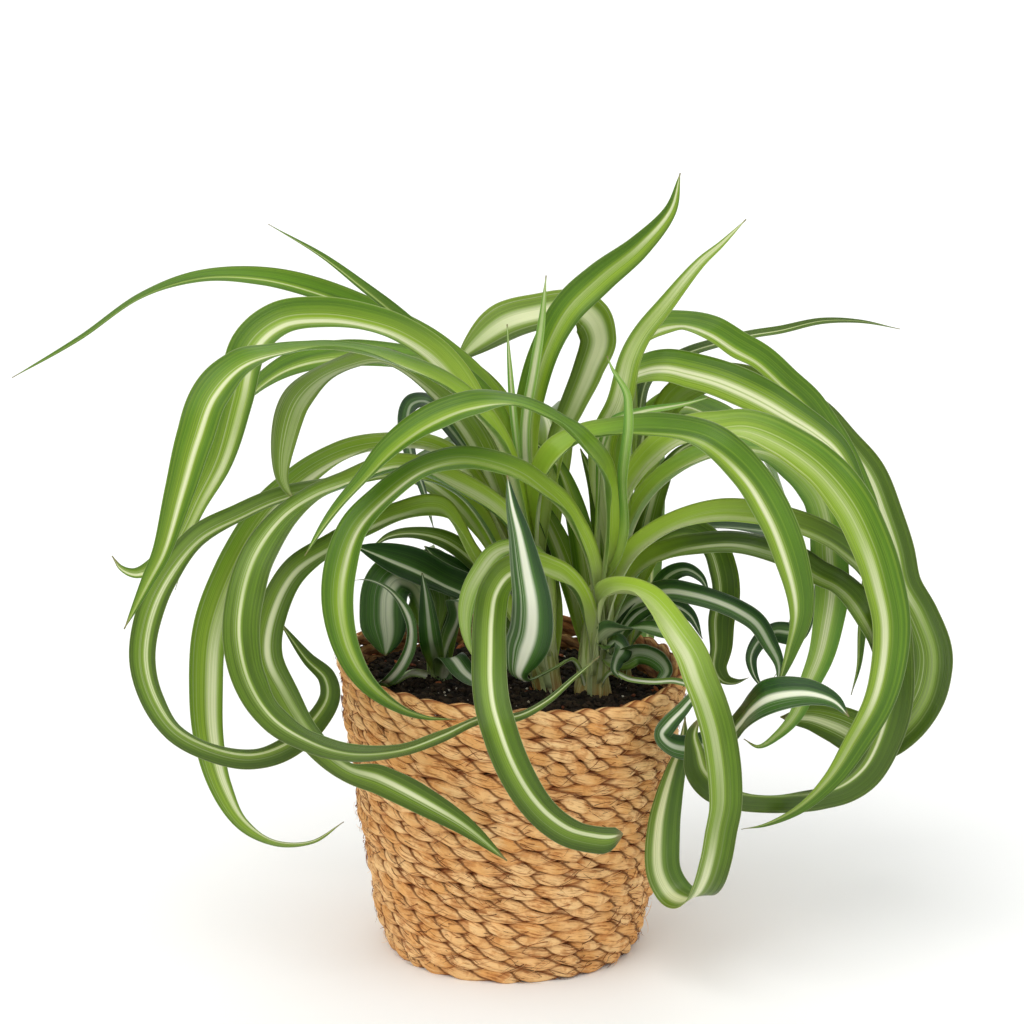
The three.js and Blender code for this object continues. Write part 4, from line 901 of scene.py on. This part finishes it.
def soil_bed(looks):
    """The peat itself: a lumpy top out to the rope, over a plain filled body."""
    generator = random.Random(3)
    sides = 160
    angle = TURN * np.arange(sides) / sides
    rows = [ring(0, 0, soil_radius(z), angle, z) for z in (SOIL_BOTTOM, 30, 60, 90, 103.5)]
    inner = float(basket_radius(SOIL_TOP)) - WALL + 0.6     # the top reaches a little into the rope
    for share in np.linspace(1, 0.015, 46):
        x = inner * share * np.cos(angle)
        y = inner * share * np.sin(angle)
        rough = np.array([generator.gauss(0, 0.55) for _ in range(sides)])
        z = soil_height(x, y) + rough * min(1, share * 4) + 0.7 * np.sin(0.9 * x) * np.sin(1.1 * y + 0.6 * x)
        rows.append(np.stack([x, y, z - (2.2 if share == 1 else 0)], axis=1))
    points = tilt_rim(np.concatenate(rows))
    faces = tube_faces(len(rows), sides) + end_faces(len(rows), sides)
    tones = [generator.random() * 0.6 for _ in range(len(points))]
    material = grain_material("peat", tuple(looks.peat), tuple(looks.peat_light), 0.95)
    belong(make_mesh("soil_bed", points, faces, {"tone": tones}, material), "potting_soil", "soil")


def scattered(name, count, sizes, stretch, colours, roughness, seed, sink=0.35):
    """Loose bits on the soil, each a rough little stone of its own size, turn and tone."""
    generator = random.Random(seed)
    golden = (1 + math.sqrt(5)) / 2
    corners = unit(np.array([[-1, golden, 0], [1, golden, 0], [-1, -golden, 0], [1, -golden, 0],
                             [0, -1, golden], [0, 1, golden], [0, -1, -golden], [0, 1, -golden],
                             [golden, 0, -1], [golden, 0, 1], [-golden, 0, -1], [-golden, 0, 1]]))
    sides = [(0, 11, 5), (0, 5, 1), (0, 1, 7), (0, 7, 10), (0, 10, 11), (1, 5, 9), (5, 11, 4), (11, 10, 2),
             (10, 7, 6), (7, 1, 8), (3, 9, 4), (3, 4, 2), (3, 2, 6), (3, 6, 8), (3, 8, 9), (4, 9, 5),
             (2, 4, 11), (6, 2, 10), (8, 6, 7), (9, 8, 1)]
    inner = float(basket_radius(SOIL_TOP)) - WALL - 0.4
    points = []
    faces = []
    tones = []
    for _ in range(count):
        size = generator.uniform(*sizes)
        reach = (inner - size) * math.sqrt(generator.random())
        angle = generator.uniform(0, TURN)
        x = reach * math.cos(angle)
        y = reach * math.sin(angle)
        turn = generator.uniform(0, TURN)
        lean = generator.uniform(-0.5, 0.5)
        shape = corners * [generator.uniform(0.8, 1.2) * stretch, generator.uniform(0.7, 1.1),
                           generator.uniform(0.5, 0.9)]
        shape = shape * np.array([[generator.uniform(0.78, 1.15)] for _ in corners]) * size
        flat = shape[:, 0] * math.cos(lean) - shape[:, 2] * math.sin(lean)
        tall = shape[:, 0] * math.sin(lean) + shape[:, 2] * math.cos(lean)
        first = len(points) * len(corners)
        points.append(np.stack([flat * math.cos(turn) - shape[:, 1] * math.sin(turn) + x,
                                flat * math.sin(turn) + shape[:, 1] * math.cos(turn) + y,
                                tall + soil_height(x, y) + size * sink], axis=1))
        faces.extend((first + a, first + b, first + c) for a, b, c in sides)
        tones.extend([generator.random()] * len(corners))
    material = grain_material(name, *colours, roughness)
    points = tilt_rim(np.concatenate(points))
    belong(make_mesh(name, points, faces, {"tone": tones}, material, smooth=False), "potting_soil")


# ---- leaves ----


def smooth_route(points):
    """Centripetal spline through the points, FINE samples to a span, the last point included."""
    points = [np.asarray(point, float) for point in points]
    points = [2 * points[0] - points[1], *points, 2 * points[-1] - points[-2]]
    share = (np.arange(FINE) / FINE)[:, None]
    samples = []
    for j in range(1, len(points) - 2):
        x0, x1, x2, x3 = points[j - 1:j + 3]
        gap0, gap1, gap2 = (math.sqrt(np.linalg.norm(b - a)) for a, b in ((x0, x1), (x1, x2), (x2, x3)))
        leave = ((x1 - x0) / gap0 - (x2 - x0) / (gap0 + gap1) + (x2 - x1) / gap1) * gap1
        arrive = ((x2 - x1) / gap1 - (x3 - x1) / (gap1 + gap2) + (x3 - x2) / gap2) * gap1
        second = -3 * x1 + 3 * x2 - 2 * leave - arrive
        third = 2 * x1 - 2 * x2 + leave + arrive
        samples.append(x1 + leave * share + second * share ** 2 + third * share ** 3)
    return np.concatenate([*samples, points[-2][None, :]])


def turn_about(vector, axis, angle):
    return (vector * math.cos(angle) + np.cross(axis, vector) * math.sin(angle)
            + axis * float(np.dot(axis, vector)) * (1 - math.cos(angle)))


def leaf_course(points, faces, first_normal):
    """The route's samples, their directions, and normals turned to the face angles asked for."""
    at = smooth_route(points)
    ahead = at[np.minimum(np.arange(len(at)) + 1, len(at) - 1)]
    behind = at[np.maximum(np.arange(len(at)) - 1, 0)]
    tangents = unit(ahead - behind)
    normals = np.zeros_like(at)
    normal = np.asarray(first_normal, float)
    for i, tangent in enumerate(tangents):
        normal = unit(normal - tangent * float(np.dot(normal, tangent)))
        normals[i] = normal
    rolls = [(0, 0.0)]
    for index, face in faces:
        i = index * FINE
        right = unit(np.cross(tangents[i], unit(EYE - at[i])))
        facing = unit(np.cross(right, tangents[i]))
        wanted = facing * math.cos(math.radians(face)) + right * math.sin(math.radians(face))
        side = np.cross(tangents[i], normals[i])
        turn = math.atan2(float(np.dot(wanted, side)), float(np.dot(wanted, normals[i])))
        rolls.append((i, turn + TURN * round((rolls[-1][1] - turn) / TURN)))
    for i in range(len(at)):
        after = next((n for n, (place, _) in enumerate(rolls) if place > i), None)
        roll = rolls[-1][1]
        if after is not None:
            start, roll_start = rolls[after - 1]
            end, roll_end = rolls[after]
            roll = roll_start + (roll_end - roll_start) * float(smoothstep(i, start, end))
        normals[i] = turn_about(normals[i], tangents[i], roll)
    return at, tangents, normals


def turning(directions):
    """Degrees from each direction to the next."""
    return np.degrees(np.arccos(np.clip(np.sum(directions[1:] * directions[:-1], axis=1), -1, 1)))


def shoot_at(shoot, height):
    """The shoot's middle and radius at a height above the soil."""
    share = min(max(height / (shoot["top"][2] - SOIL_TOP), 0), 1)
    foot = np.array([*shoot["foot"], 0.0])
    top = np.array([*shoot["top"][:2], 0.0])
    middle = foot + (top - foot) * share
    middle[2] = SOIL_TOP + height
    return middle, shoot["radius"] + (shoot["neck"] - shoot["radius"]) * share


def blade_width(along, full, hold, grown, base_width):
    past = np.clip((along - hold) / (1 - hold), 0, 1)
    taper = np.maximum(0, 1 - past ** TAPER_POWER) ** TAPER_FULLNESS
    return np.maximum(TIP_WIDTH, (base_width + (full - base_width) * smoothstep(along, *grown)) * taper)


def blade_mesh(name, course, widths, stripe, material, looks, sheath=0):
    """A thin closed blade, hollowed along its middle. The first sheath samples clasp the shoot."""
    at, tangents, normals = course
    generator = random.Random(name)
    length = running_length(at)
    # sections stand closer where the blade bends or rolls, one for every 7 degrees
    cost = np.diff(length) / (looks.station_step / MM) + (turning(tangents) + turning(normals)) / 7
    cost = np.concatenate([[0], np.cumsum(cost)])
    stations = np.searchsorted(cost, np.linspace(0, cost[-1], int(cost[-1]) + 2) - 1e-9)
    stations = np.unique(np.clip(stations, 0, len(at) - 1))
    start = length[sheath]
    along = np.clip((length - start) / (length[-1] - start), 0, 1)[stations]
    clasp = np.clip(1 - length[stations] / start, 0, 1) if sheath else 0 * along
    half = blade_width(along, *widths)[:, None] / 2 * (1 + 0.15 * clasp)[:, None]
    x = np.linspace(-1, 1, looks.points_across)
    edge = np.abs(x)
    phases = [generator.uniform(0, TURN) for _ in range(4)]
    run = length[stations][:, None]

    def wave(left_length, left, right_length, right):
        """A wave along the blade, with a length and a phase of its own on each side of the middle."""
        return np.where(x < 0, np.sin(run / left_length + left), np.sin(run / right_length + right))

    ripple = wave(6.1, phases[0], 7.3, phases[1]) + 0.6 * wave(15.7, phases[2], 13.1, phases[3])
    ripple = ripple * edge ** 2.5 * 0.022 * half
    sway = 0.16 * wave(17.3, phases[1], 21.9, phases[3]) * smoothstep(along, 0.1, 0.3)[:, None]
    fold = np.radians(FLAT_FOLD + BASE_FOLD * (1 - smoothstep(along, 0.05, 0.5)) + CLASP_FOLD * clasp)
    fold = fold[:, None] + sway
    lateral = half * np.cos(fold) * x
    lift = half * np.sin(fold) * edge ** 1.45 + ripple
    thick = looks.blade_thickness / MM / 2 * (1 - 0.6 * edge ** 2) * np.minimum(1, half / 1.5)
    normal = normals[stations]
    side = np.cross(tangents[stations], normal)
    base = at[stations][:, None, :] + lateral[..., None] * side[:, None, :]
    top = base + (lift + thick)[..., None] * normal[:, None, :]
    bottom = base + (lift - thick)[..., None] * normal[:, None, :]
    rings = np.concatenate([top, bottom[:, ::-1]], axis=1)
    rows, count = rings.shape[:2]
    faces = tube_faces(rows, count)
    for first, way in ((0, 1), ((rows - 1) * count, -1)):
        for k in range(len(x) - 1):
            faces.append((first + k, first + count - 1 - k, first + count - 2 - k, first + k + 1)[::way])
    width_share, shift, lined, own_back = stripe
    spread = np.ones((rows, count))
    marks = {
        "across": spread * np.concatenate([x, x[::-1]]),
        "along": spread * along[:, None],
        "reach": spread * run * MM,
        "lower": spread * np.repeat([0, own_back], len(x)),
        "seed": spread * generator.uniform(0, 30),
        "stripe": spread * width_share,
        "shift": spread * shift,
        "lined": spread * lined,
    }
    return make_mesh(name, rings.reshape(-1, 3), faces, marks, material)


def leaf_stripe(name, colour, route):
    """The leaf's own stripe, or the common one of its colour, a little varied."""
    if name in STRIPES:
        return STRIPES[name]
    generator = random.Random(name + " stripe")
    half, shift, lined = COMMON_STRIPES[colour]
    if route[-1][0] > route[0][0]:
        shift = -shift
    shift += generator.uniform(-0.12, 0.12)
    return half * generator.uniform(0.75, 1.3), shift, lined * generator.uniform(0.6, 1.1), 1


def face_angles(route, before):
    """The face angles along a route, by the number of the point when some more stand before it."""
    return [(n + before, mark[3]) for n, mark in enumerate(route) if len(mark) > 3]


def grow_leaf(row, material, looks):
    """A leaf from its clasping base, up along the shoot, then through its route."""
    name, shoot_name, height, full, hold, colour, route = row
    shoot = SHOOTS[shoot_name]
    first = drawn(*SET_OFF.get(name, route[0]))
    out = first - shoot_at(shoot, height)[0]
    out[2] = 0
    away = float(np.linalg.norm(out))
    out = unit(out)
    leave = min(height, first[2] - SOIL_TOP - LEAST_CLIMB * away - LOWEST_SEAT)
    leave = max(leave, LOWEST_SEAT)
    seat, radius = shoot_at(shoot, leave)
    low, low_radius = shoot_at(shoot, max(LOWEST_CLASP, leave - CLASP_LENGTH))
    points = [low + out * low_radius * CLASP_DEPTH, seat + out * radius * SEAT_DEPTH]
    points += [drawn(*mark) for mark in route]
    faces = face_angles(route, 2)
    if faces:
        faces = [(0, faces[0][1]), (1, faces[0][1]), *faces]
    base_width = BASE_WIDTHS.get(name, min(full * 0.85, 2.3 * radius))
    widths = (full, hold, LATE_WIDTHS.get(name, GROWN), base_width)
    made = blade_mesh(name + "_blade", leaf_course(points, faces, -out), widths,
                      leaf_stripe(name, colour, route), material, looks, FINE)
    belong(made, LEAF_SLOTS[colour], name)


def grow_shoot(name, material, sides=48, rows=44):
    """A shoot of wrapped leaf bases, whose edges wind up it as low ridges."""
    shoot = SHOOTS[name]
    full = shoot["top"][2] - SOIL_TOP
    angle = TURN * np.arange(sides) / sides
    points = []
    along = []
    ridges = []
    for share in np.arange(rows) / (rows - 1):
        height = -STUB_DEPTH + (full + STUB_DEPTH) * share
        middle, radius = shoot_at(shoot, height)
        wrap = (SHEATHS * angle / TURN + height / SHEATH_CLIMB) % 1
        ridge = wrap * smoothstep(1 - wrap, 0, 0.06)
        flare = 1 + 0.12 * smoothstep(height, 8, -2)
        close = math.sqrt(1 - max(0, share - CLOSING) / (1 - CLOSING)) * 0.92 + 0.08
        reach = radius * (0.9 + 0.13 * ridge) * flare * close
        points.append(ring(middle[0], middle[1], reach, angle, middle[2]))
        along.append(np.full(sides, share))
        ridges.append(ridge)
    faces = tube_faces(rows, sides) + end_faces(rows, sides)
    marks = {"along": np.concatenate(along), "across": np.tile(np.sin(angle), rows),
             "ridge": np.concatenate(ridges)}
    made = make_mesh("shoot_" + name + "_sheaths", np.concatenate(points), faces, marks, material)
    belong(made, "shoot", "shoot_" + name)


def grow_young_leaf(number, row, material, looks):
    """A slim leaf that grows out of its shoot."""
    shoot_name, full, route = row
    points = [drawn(*mark) for mark in route]
    inward = shoot_at(SHOOTS[shoot_name], 0)[0] - points[0]
    inward[2] = 0
    faces = face_angles(route, 0) or [(len(route) - 1, 0)]
    course = leaf_course(points, faces, unit(inward))
    widths = (full, YOUNG_HOLD, GROWN, YOUNG_BASE)
    belong(blade_mesh("young_leaf_" + str(number), course, widths, YOUNG_STRIPE, material, looks), "shoot")


def grow_inner_leaf(number, row, material, looks):
    """A short leaf that starts low on its shoot."""
    shoot_name, full, _, route = row
    middle, radius = shoot_at(SHOOTS[shoot_name], INNER_SEAT)
    out = drawn(*route[0]) - middle
    out[2] = 0
    out = unit(out)
    points = [middle + out * radius / 2] + [drawn(*mark) for mark in route]
    faces = face_angles(route, 1)
    course = leaf_course(points, [(0, faces[0][1]), *faces], -out)
    widths = (full, INNER_HOLD, GROWN, 0.6 * full)
    belong(blade_mesh("inner_leaf_" + str(number), course, widths, INNER_STRIPE, material, looks), "shoot")


# ---- what the panel shows ----


def colour_choice(name, description, colour):
    return bpy.props.FloatVectorProperty(name=name, description=description, subtype="COLOR", size=4,
                                         min=0, max=1, default=colour)


def length_choice(name, description, length, low, high):
    return bpy.props.FloatProperty(name=name, description=description, unit="LENGTH",
                                   min=low * MM, max=high * MM, default=length * MM)


def count_choice(name, description, count, low, high):
    return bpy.props.IntProperty(name=name, description=description, min=low, max=high, default=count)


class BasketLooks(bpy.types.PropertyGroup):
    rope_thickness: length_choice("Rope thickness", "Width of the twisted rope", 6.3, 4, 7)
    twist_length: length_choice("Twist length", "Rope for one full twist of its plies", 25, 10, 50)
    rope_step: length_choice("Rope step", "Distance between two sections of rope", 1.2, 1, 5)
    fibre_count: count_choice("Loose fibres", "How many ends of grass stand off", 420, 1, 2000)
    binding_count: count_choice("Binding fibres", "How many fibres lie across the rope", 1500, 1, 4000)
    straw_light: colour_choice("Light straw", "Rope where the light catches it", srgb(250, 206, 144))
    straw: colour_choice("Straw", "Main colour of the rope", srgb(230, 170, 100))
    # Dark straw also paints the shade deep in the rope's grooves
    straw_dark: colour_choice("Dark straw", "Rope in its grooves", srgb(156, 88, 38))
    film: colour_choice("Liner film", "Plastic cup inside the basket", srgb(84, 48, 28))


class SoilLooks(bpy.types.PropertyGroup):
    peat: colour_choice("Peat", "Dark of the soil", srgb(18, 14, 9))
    peat_light: colour_choice("Dry peat", "Lighter crumbs of the soil", srgb(62, 48, 34))
    crumbs: count_choice("Crumbs", "Loose crumbs of peat", 2200, 1, 9000)
    bark: count_choice("Bark bits", "Reddish bits of bark", 70, 1, 900)
    grit: count_choice("Grit", "Pale specks in the soil", 170, 1, 900)


class LeafLooks(bpy.types.PropertyGroup):
    blade_thickness: length_choice("Blade thickness", "Thickness of a leaf's middle", 0.5, 0.2, 1)
    station_step: length_choice("Station step", "Largest step along a leaf", 3.2, 1, 10)
    points_across: count_choice("Points across", "Points from edge to edge of a leaf", 11, 5, 21)
    bright_green: colour_choice("Bright green", "Leaves in full light", srgb(98, 140, 20))
    green: colour_choice("Green", "Most leaves", srgb(88, 120, 16))
    dark_green: colour_choice("Dark green", "Leaves in the shade", srgb(44, 82, 22))
    cream: colour_choice("Cream", "The stripe along a leaf", srgb(216, 222, 176))
    dry_tip: colour_choice("Dry tip", "Very end of a leaf", srgb(120, 112, 70))


class StageLooks(bpy.types.PropertyGroup):
    floor_colour: colour_choice("Floor", "Pale surface that the plant stands on", (0.95, 0.96, 0.955, 1))
    sky_strength: bpy.props.FloatProperty(name="Room light", description="Even light from all round",
                                          default=0.78, min=0, max=5)
    key_strength: bpy.props.FloatProperty(name="Key light", description="Strength of the light at upper left",
                                          default=1.4, min=0, max=20)
    fill_power: bpy.props.FloatProperty(name="Fill light", description="Power of the light at the right",
                                        default=3, min=0, max=500, subtype="POWER")


class SPIDERPLANT_OT_basket(bpy.types.Operator):
    """Coils the seagrass basket and adds its loose fibres"""
    bl_idname = "spider_plant.basket"
    bl_label = "Basket"

    def execute(self, context):
        looks = context.scene.plant_basket
        rope_basket(looks)
        loose_fibres(looks)
        return {"FINISHED"}


class SPIDERPLANT_OT_liner(bpy.types.Operator):
    """Gives the plastic cup inside the basket its finish"""
    bl_idname = "spider_plant.liner"
    bl_label = "Liner"

    def execute(self, context):
        material = film_material(tuple(context.scene.plant_basket.film))
        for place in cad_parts["liner"].material_slots:
            place.material = material
        return {"FINISHED"}


class SPIDERPLANT_OT_soil(bpy.types.Operator):
    """Fills the basket with peat, crumbs, bark and grit"""
    bl_idname = "spider_plant.soil"
    bl_label = "Soil"

    def execute(self, context):
        looks = context.scene.plant_soil
        peat = (tuple(looks.peat), tuple(looks.peat_light))
        bark = (srgb(92, 44, 24), srgb(168, 96, 56))
        grit = (srgb(150, 138, 118), srgb(226, 220, 206))
        soil_bed(looks)
        scattered("soil_crumbs", looks.crumbs, (0.5, 1.9), 1.2, peat, 0.95, 11)
        scattered("soil_bark", looks.bark, (0.5, 1.5), 1.9, bark, 0.85, 12, 0.8)
        scattered("soil_grit", looks.grit, (0.3, 0.85), 1.1, grit, 0.8, 13, 0.9)
        return {"FINISHED"}


class SPIDERPLANT_OT_shoots(bpy.types.Operator):
    """Sets the shoots in the soil, with their slim young leaves and short inner leaves"""
    bl_idname = "spider_plant.shoots"
    bl_label = "Shoots"

    def execute(self, context):
        looks = context.scene.plant_leaves
        pale = shoot_material("shoot_pale_green", srgb(206, 212, 150), srgb(152, 176, 84))
        dark = shoot_material("shoot_dark_green", srgb(96, 128, 66), srgb(52, 84, 34))
        for name in SHOOTS:
            grow_shoot(name, dark if name == "left" else pale)
        materials = leaf_materials(looks)
        for number, row in enumerate(YOUNG_LEAVES, 1):
            grow_young_leaf(number, row, materials["slim" if number <= TALL_YOUNG else "dark"], looks)
        for number, row in enumerate(INNER_LEAVES, 1):
            grow_inner_leaf(number, row, materials[row[2]], looks)
        return {"FINISHED"}


class SPIDERPLANT_OT_leaves(bpy.types.Operator):
    """Grows every large leaf from its shoot"""
    bl_idname = "spider_plant.leaves"
    bl_label = "Leaves"

    def execute(self, context):
        looks = context.scene.plant_leaves
        materials = leaf_materials(looks)
        for row in LEAVES:
            name, *_, colour, _ = row
            grow_leaf(row, materials[FINISHES.get(name, colour)], looks)
        return {"FINISHED"}


class SPIDERPLANT_OT_stage(bpy.types.Operator):
    """Lays the pale floor and sets the lights and the camera"""
    bl_idname = "spider_plant.stage"
    bl_label = "Stage"

    def execute(self, context):
        looks = context.scene.plant_stage
        lay_floor(looks)
        hang_lights(looks, context.scene)
        set_camera(context.scene)
        return {"FINISHED"}


def lay_floor(looks):
    reach = 6000
    paint = Recipe("floor_paint")
    grain = paint.noise(paint.place(), 2, 3)
    colour = tuple(looks.floor_colour)
    lighter = tuple(min(1, part * 1.01) for part in colour[:3]) + (1,)
    material = paint.finish(paint.mix(grain, colour, lighter), 0.9)
    corners = [(-reach, -reach, 0), (reach, -reach, 0), (reach, reach, 0), (-reach, reach, 0)]
    floor = make_mesh("floor", corners, [(0, 1, 2, 3)], {}, material, smooth=False)
    floor.location.z = -0.05 * MM


def aimed(name, data, place, target):
    """The light or camera at a place in metres, turned towards its target."""
    made = bpy.data.objects.new(name, data)
    made.location = place
    made.rotation_euler = (Vector(target) - Vector(place)).to_track_quat("-Z", "Y").to_euler()
    bpy.context.scene.collection.objects.link(made)
    return made


def area_light(name, place, size, power, colour):
    lamp = bpy.data.lights.new(name, "AREA")
    lamp.shape = "DISK"
    lamp.size = size
    lamp.energy = power
    lamp.color = colour
    aimed(name, lamp, place, LIGHT_TARGET)


def hang_lights(looks, scene):
    world = bpy.data.worlds.new("room")
    world.use_nodes = True
    sky = world.node_tree.nodes["Background"]
    sky.inputs["Color"].default_value = (1, 1, 1, 1)
    sky.inputs["Strength"].default_value = looks.sky_strength
    scene.world = world
    sun = bpy.data.lights.new("key_light", "SUN")
    sun.energy = looks.key_strength
    sun.angle = math.radians(55)
    sun.color = (1, 0.99, 0.965)
    aimed("key_light", sun, (-0.75, -1.0, 1.9), LIGHT_TARGET)
    area_light("fill_light", (1.4, -0.9, 0.9), 1.2, looks.fill_power, (0.96, 0.98, 1))
    area_light("back_light", (0.3, 1.3, 1.5), 1.0, looks.fill_power, (1, 1, 1))


def set_camera(scene):
    lens = bpy.data.cameras.new("camera")
    lens.sensor_width = 36
    lens.lens = LENS
    lens.clip_end = 50
    scene.camera = aimed("camera", lens, EYE * MM, (0, 0, SIGHT_HEIGHT * MM))
    scene.view_settings.view_transform = "Standard"


class SPIDERPLANT_PT_panel(bpy.types.Panel):
    """Lists the plant's pieces and their looks"""
    bl_label = "Potted spider plant"
    bl_idname = "SPIDERPLANT_PT_panel"
    bl_space_type = "VIEW_3D"
    bl_region_type = "UI"
    bl_category = "Plant"

    def draw(self, context):
        for group, operators in PANEL_ROWS:
            box = self.layout.box()
            looks = getattr(context.scene, group)
            for name in looks.__annotations__:
                box.prop(looks, name)
            for operator in operators:
                box.operator(operator.bl_idname)


PANEL_ROWS = (
    ("plant_basket", (SPIDERPLANT_OT_basket, SPIDERPLANT_OT_liner)),
    ("plant_soil", (SPIDERPLANT_OT_soil,)),
    ("plant_leaves", (SPIDERPLANT_OT_shoots, SPIDERPLANT_OT_leaves)),
    ("plant_stage", (SPIDERPLANT_OT_stage,)),
)
LOOKS = {
    "plant_basket": BasketLooks,
    "plant_soil": SoilLooks,
    "plant_leaves": LeafLooks,
    "plant_stage": StageLooks,
}
CLASSES = (*LOOKS.values(), *(operator for _, row in PANEL_ROWS for operator in row), SPIDERPLANT_PT_panel)


def register():
    for cls in CLASSES:
        bpy.utils.register_class(cls)
    for name, group in LOOKS.items():
        setattr(bpy.types.Scene, name, bpy.props.PointerProperty(type=group))


def unregister():
    for name in LOOKS:
        delattr(bpy.types.Scene, name)
    for cls in reversed(CLASSES):
        bpy.utils.unregister_class(cls)


def main():
    register()
    bpy.ops.spider_plant.basket()
    bpy.ops.spider_plant.liner()
    bpy.ops.spider_plant.soil()
    bpy.ops.spider_plant.shoots()
    bpy.ops.spider_plant.leaves()
    bpy.ops.spider_plant.stage()


if __name__ == "__main__":
    main()
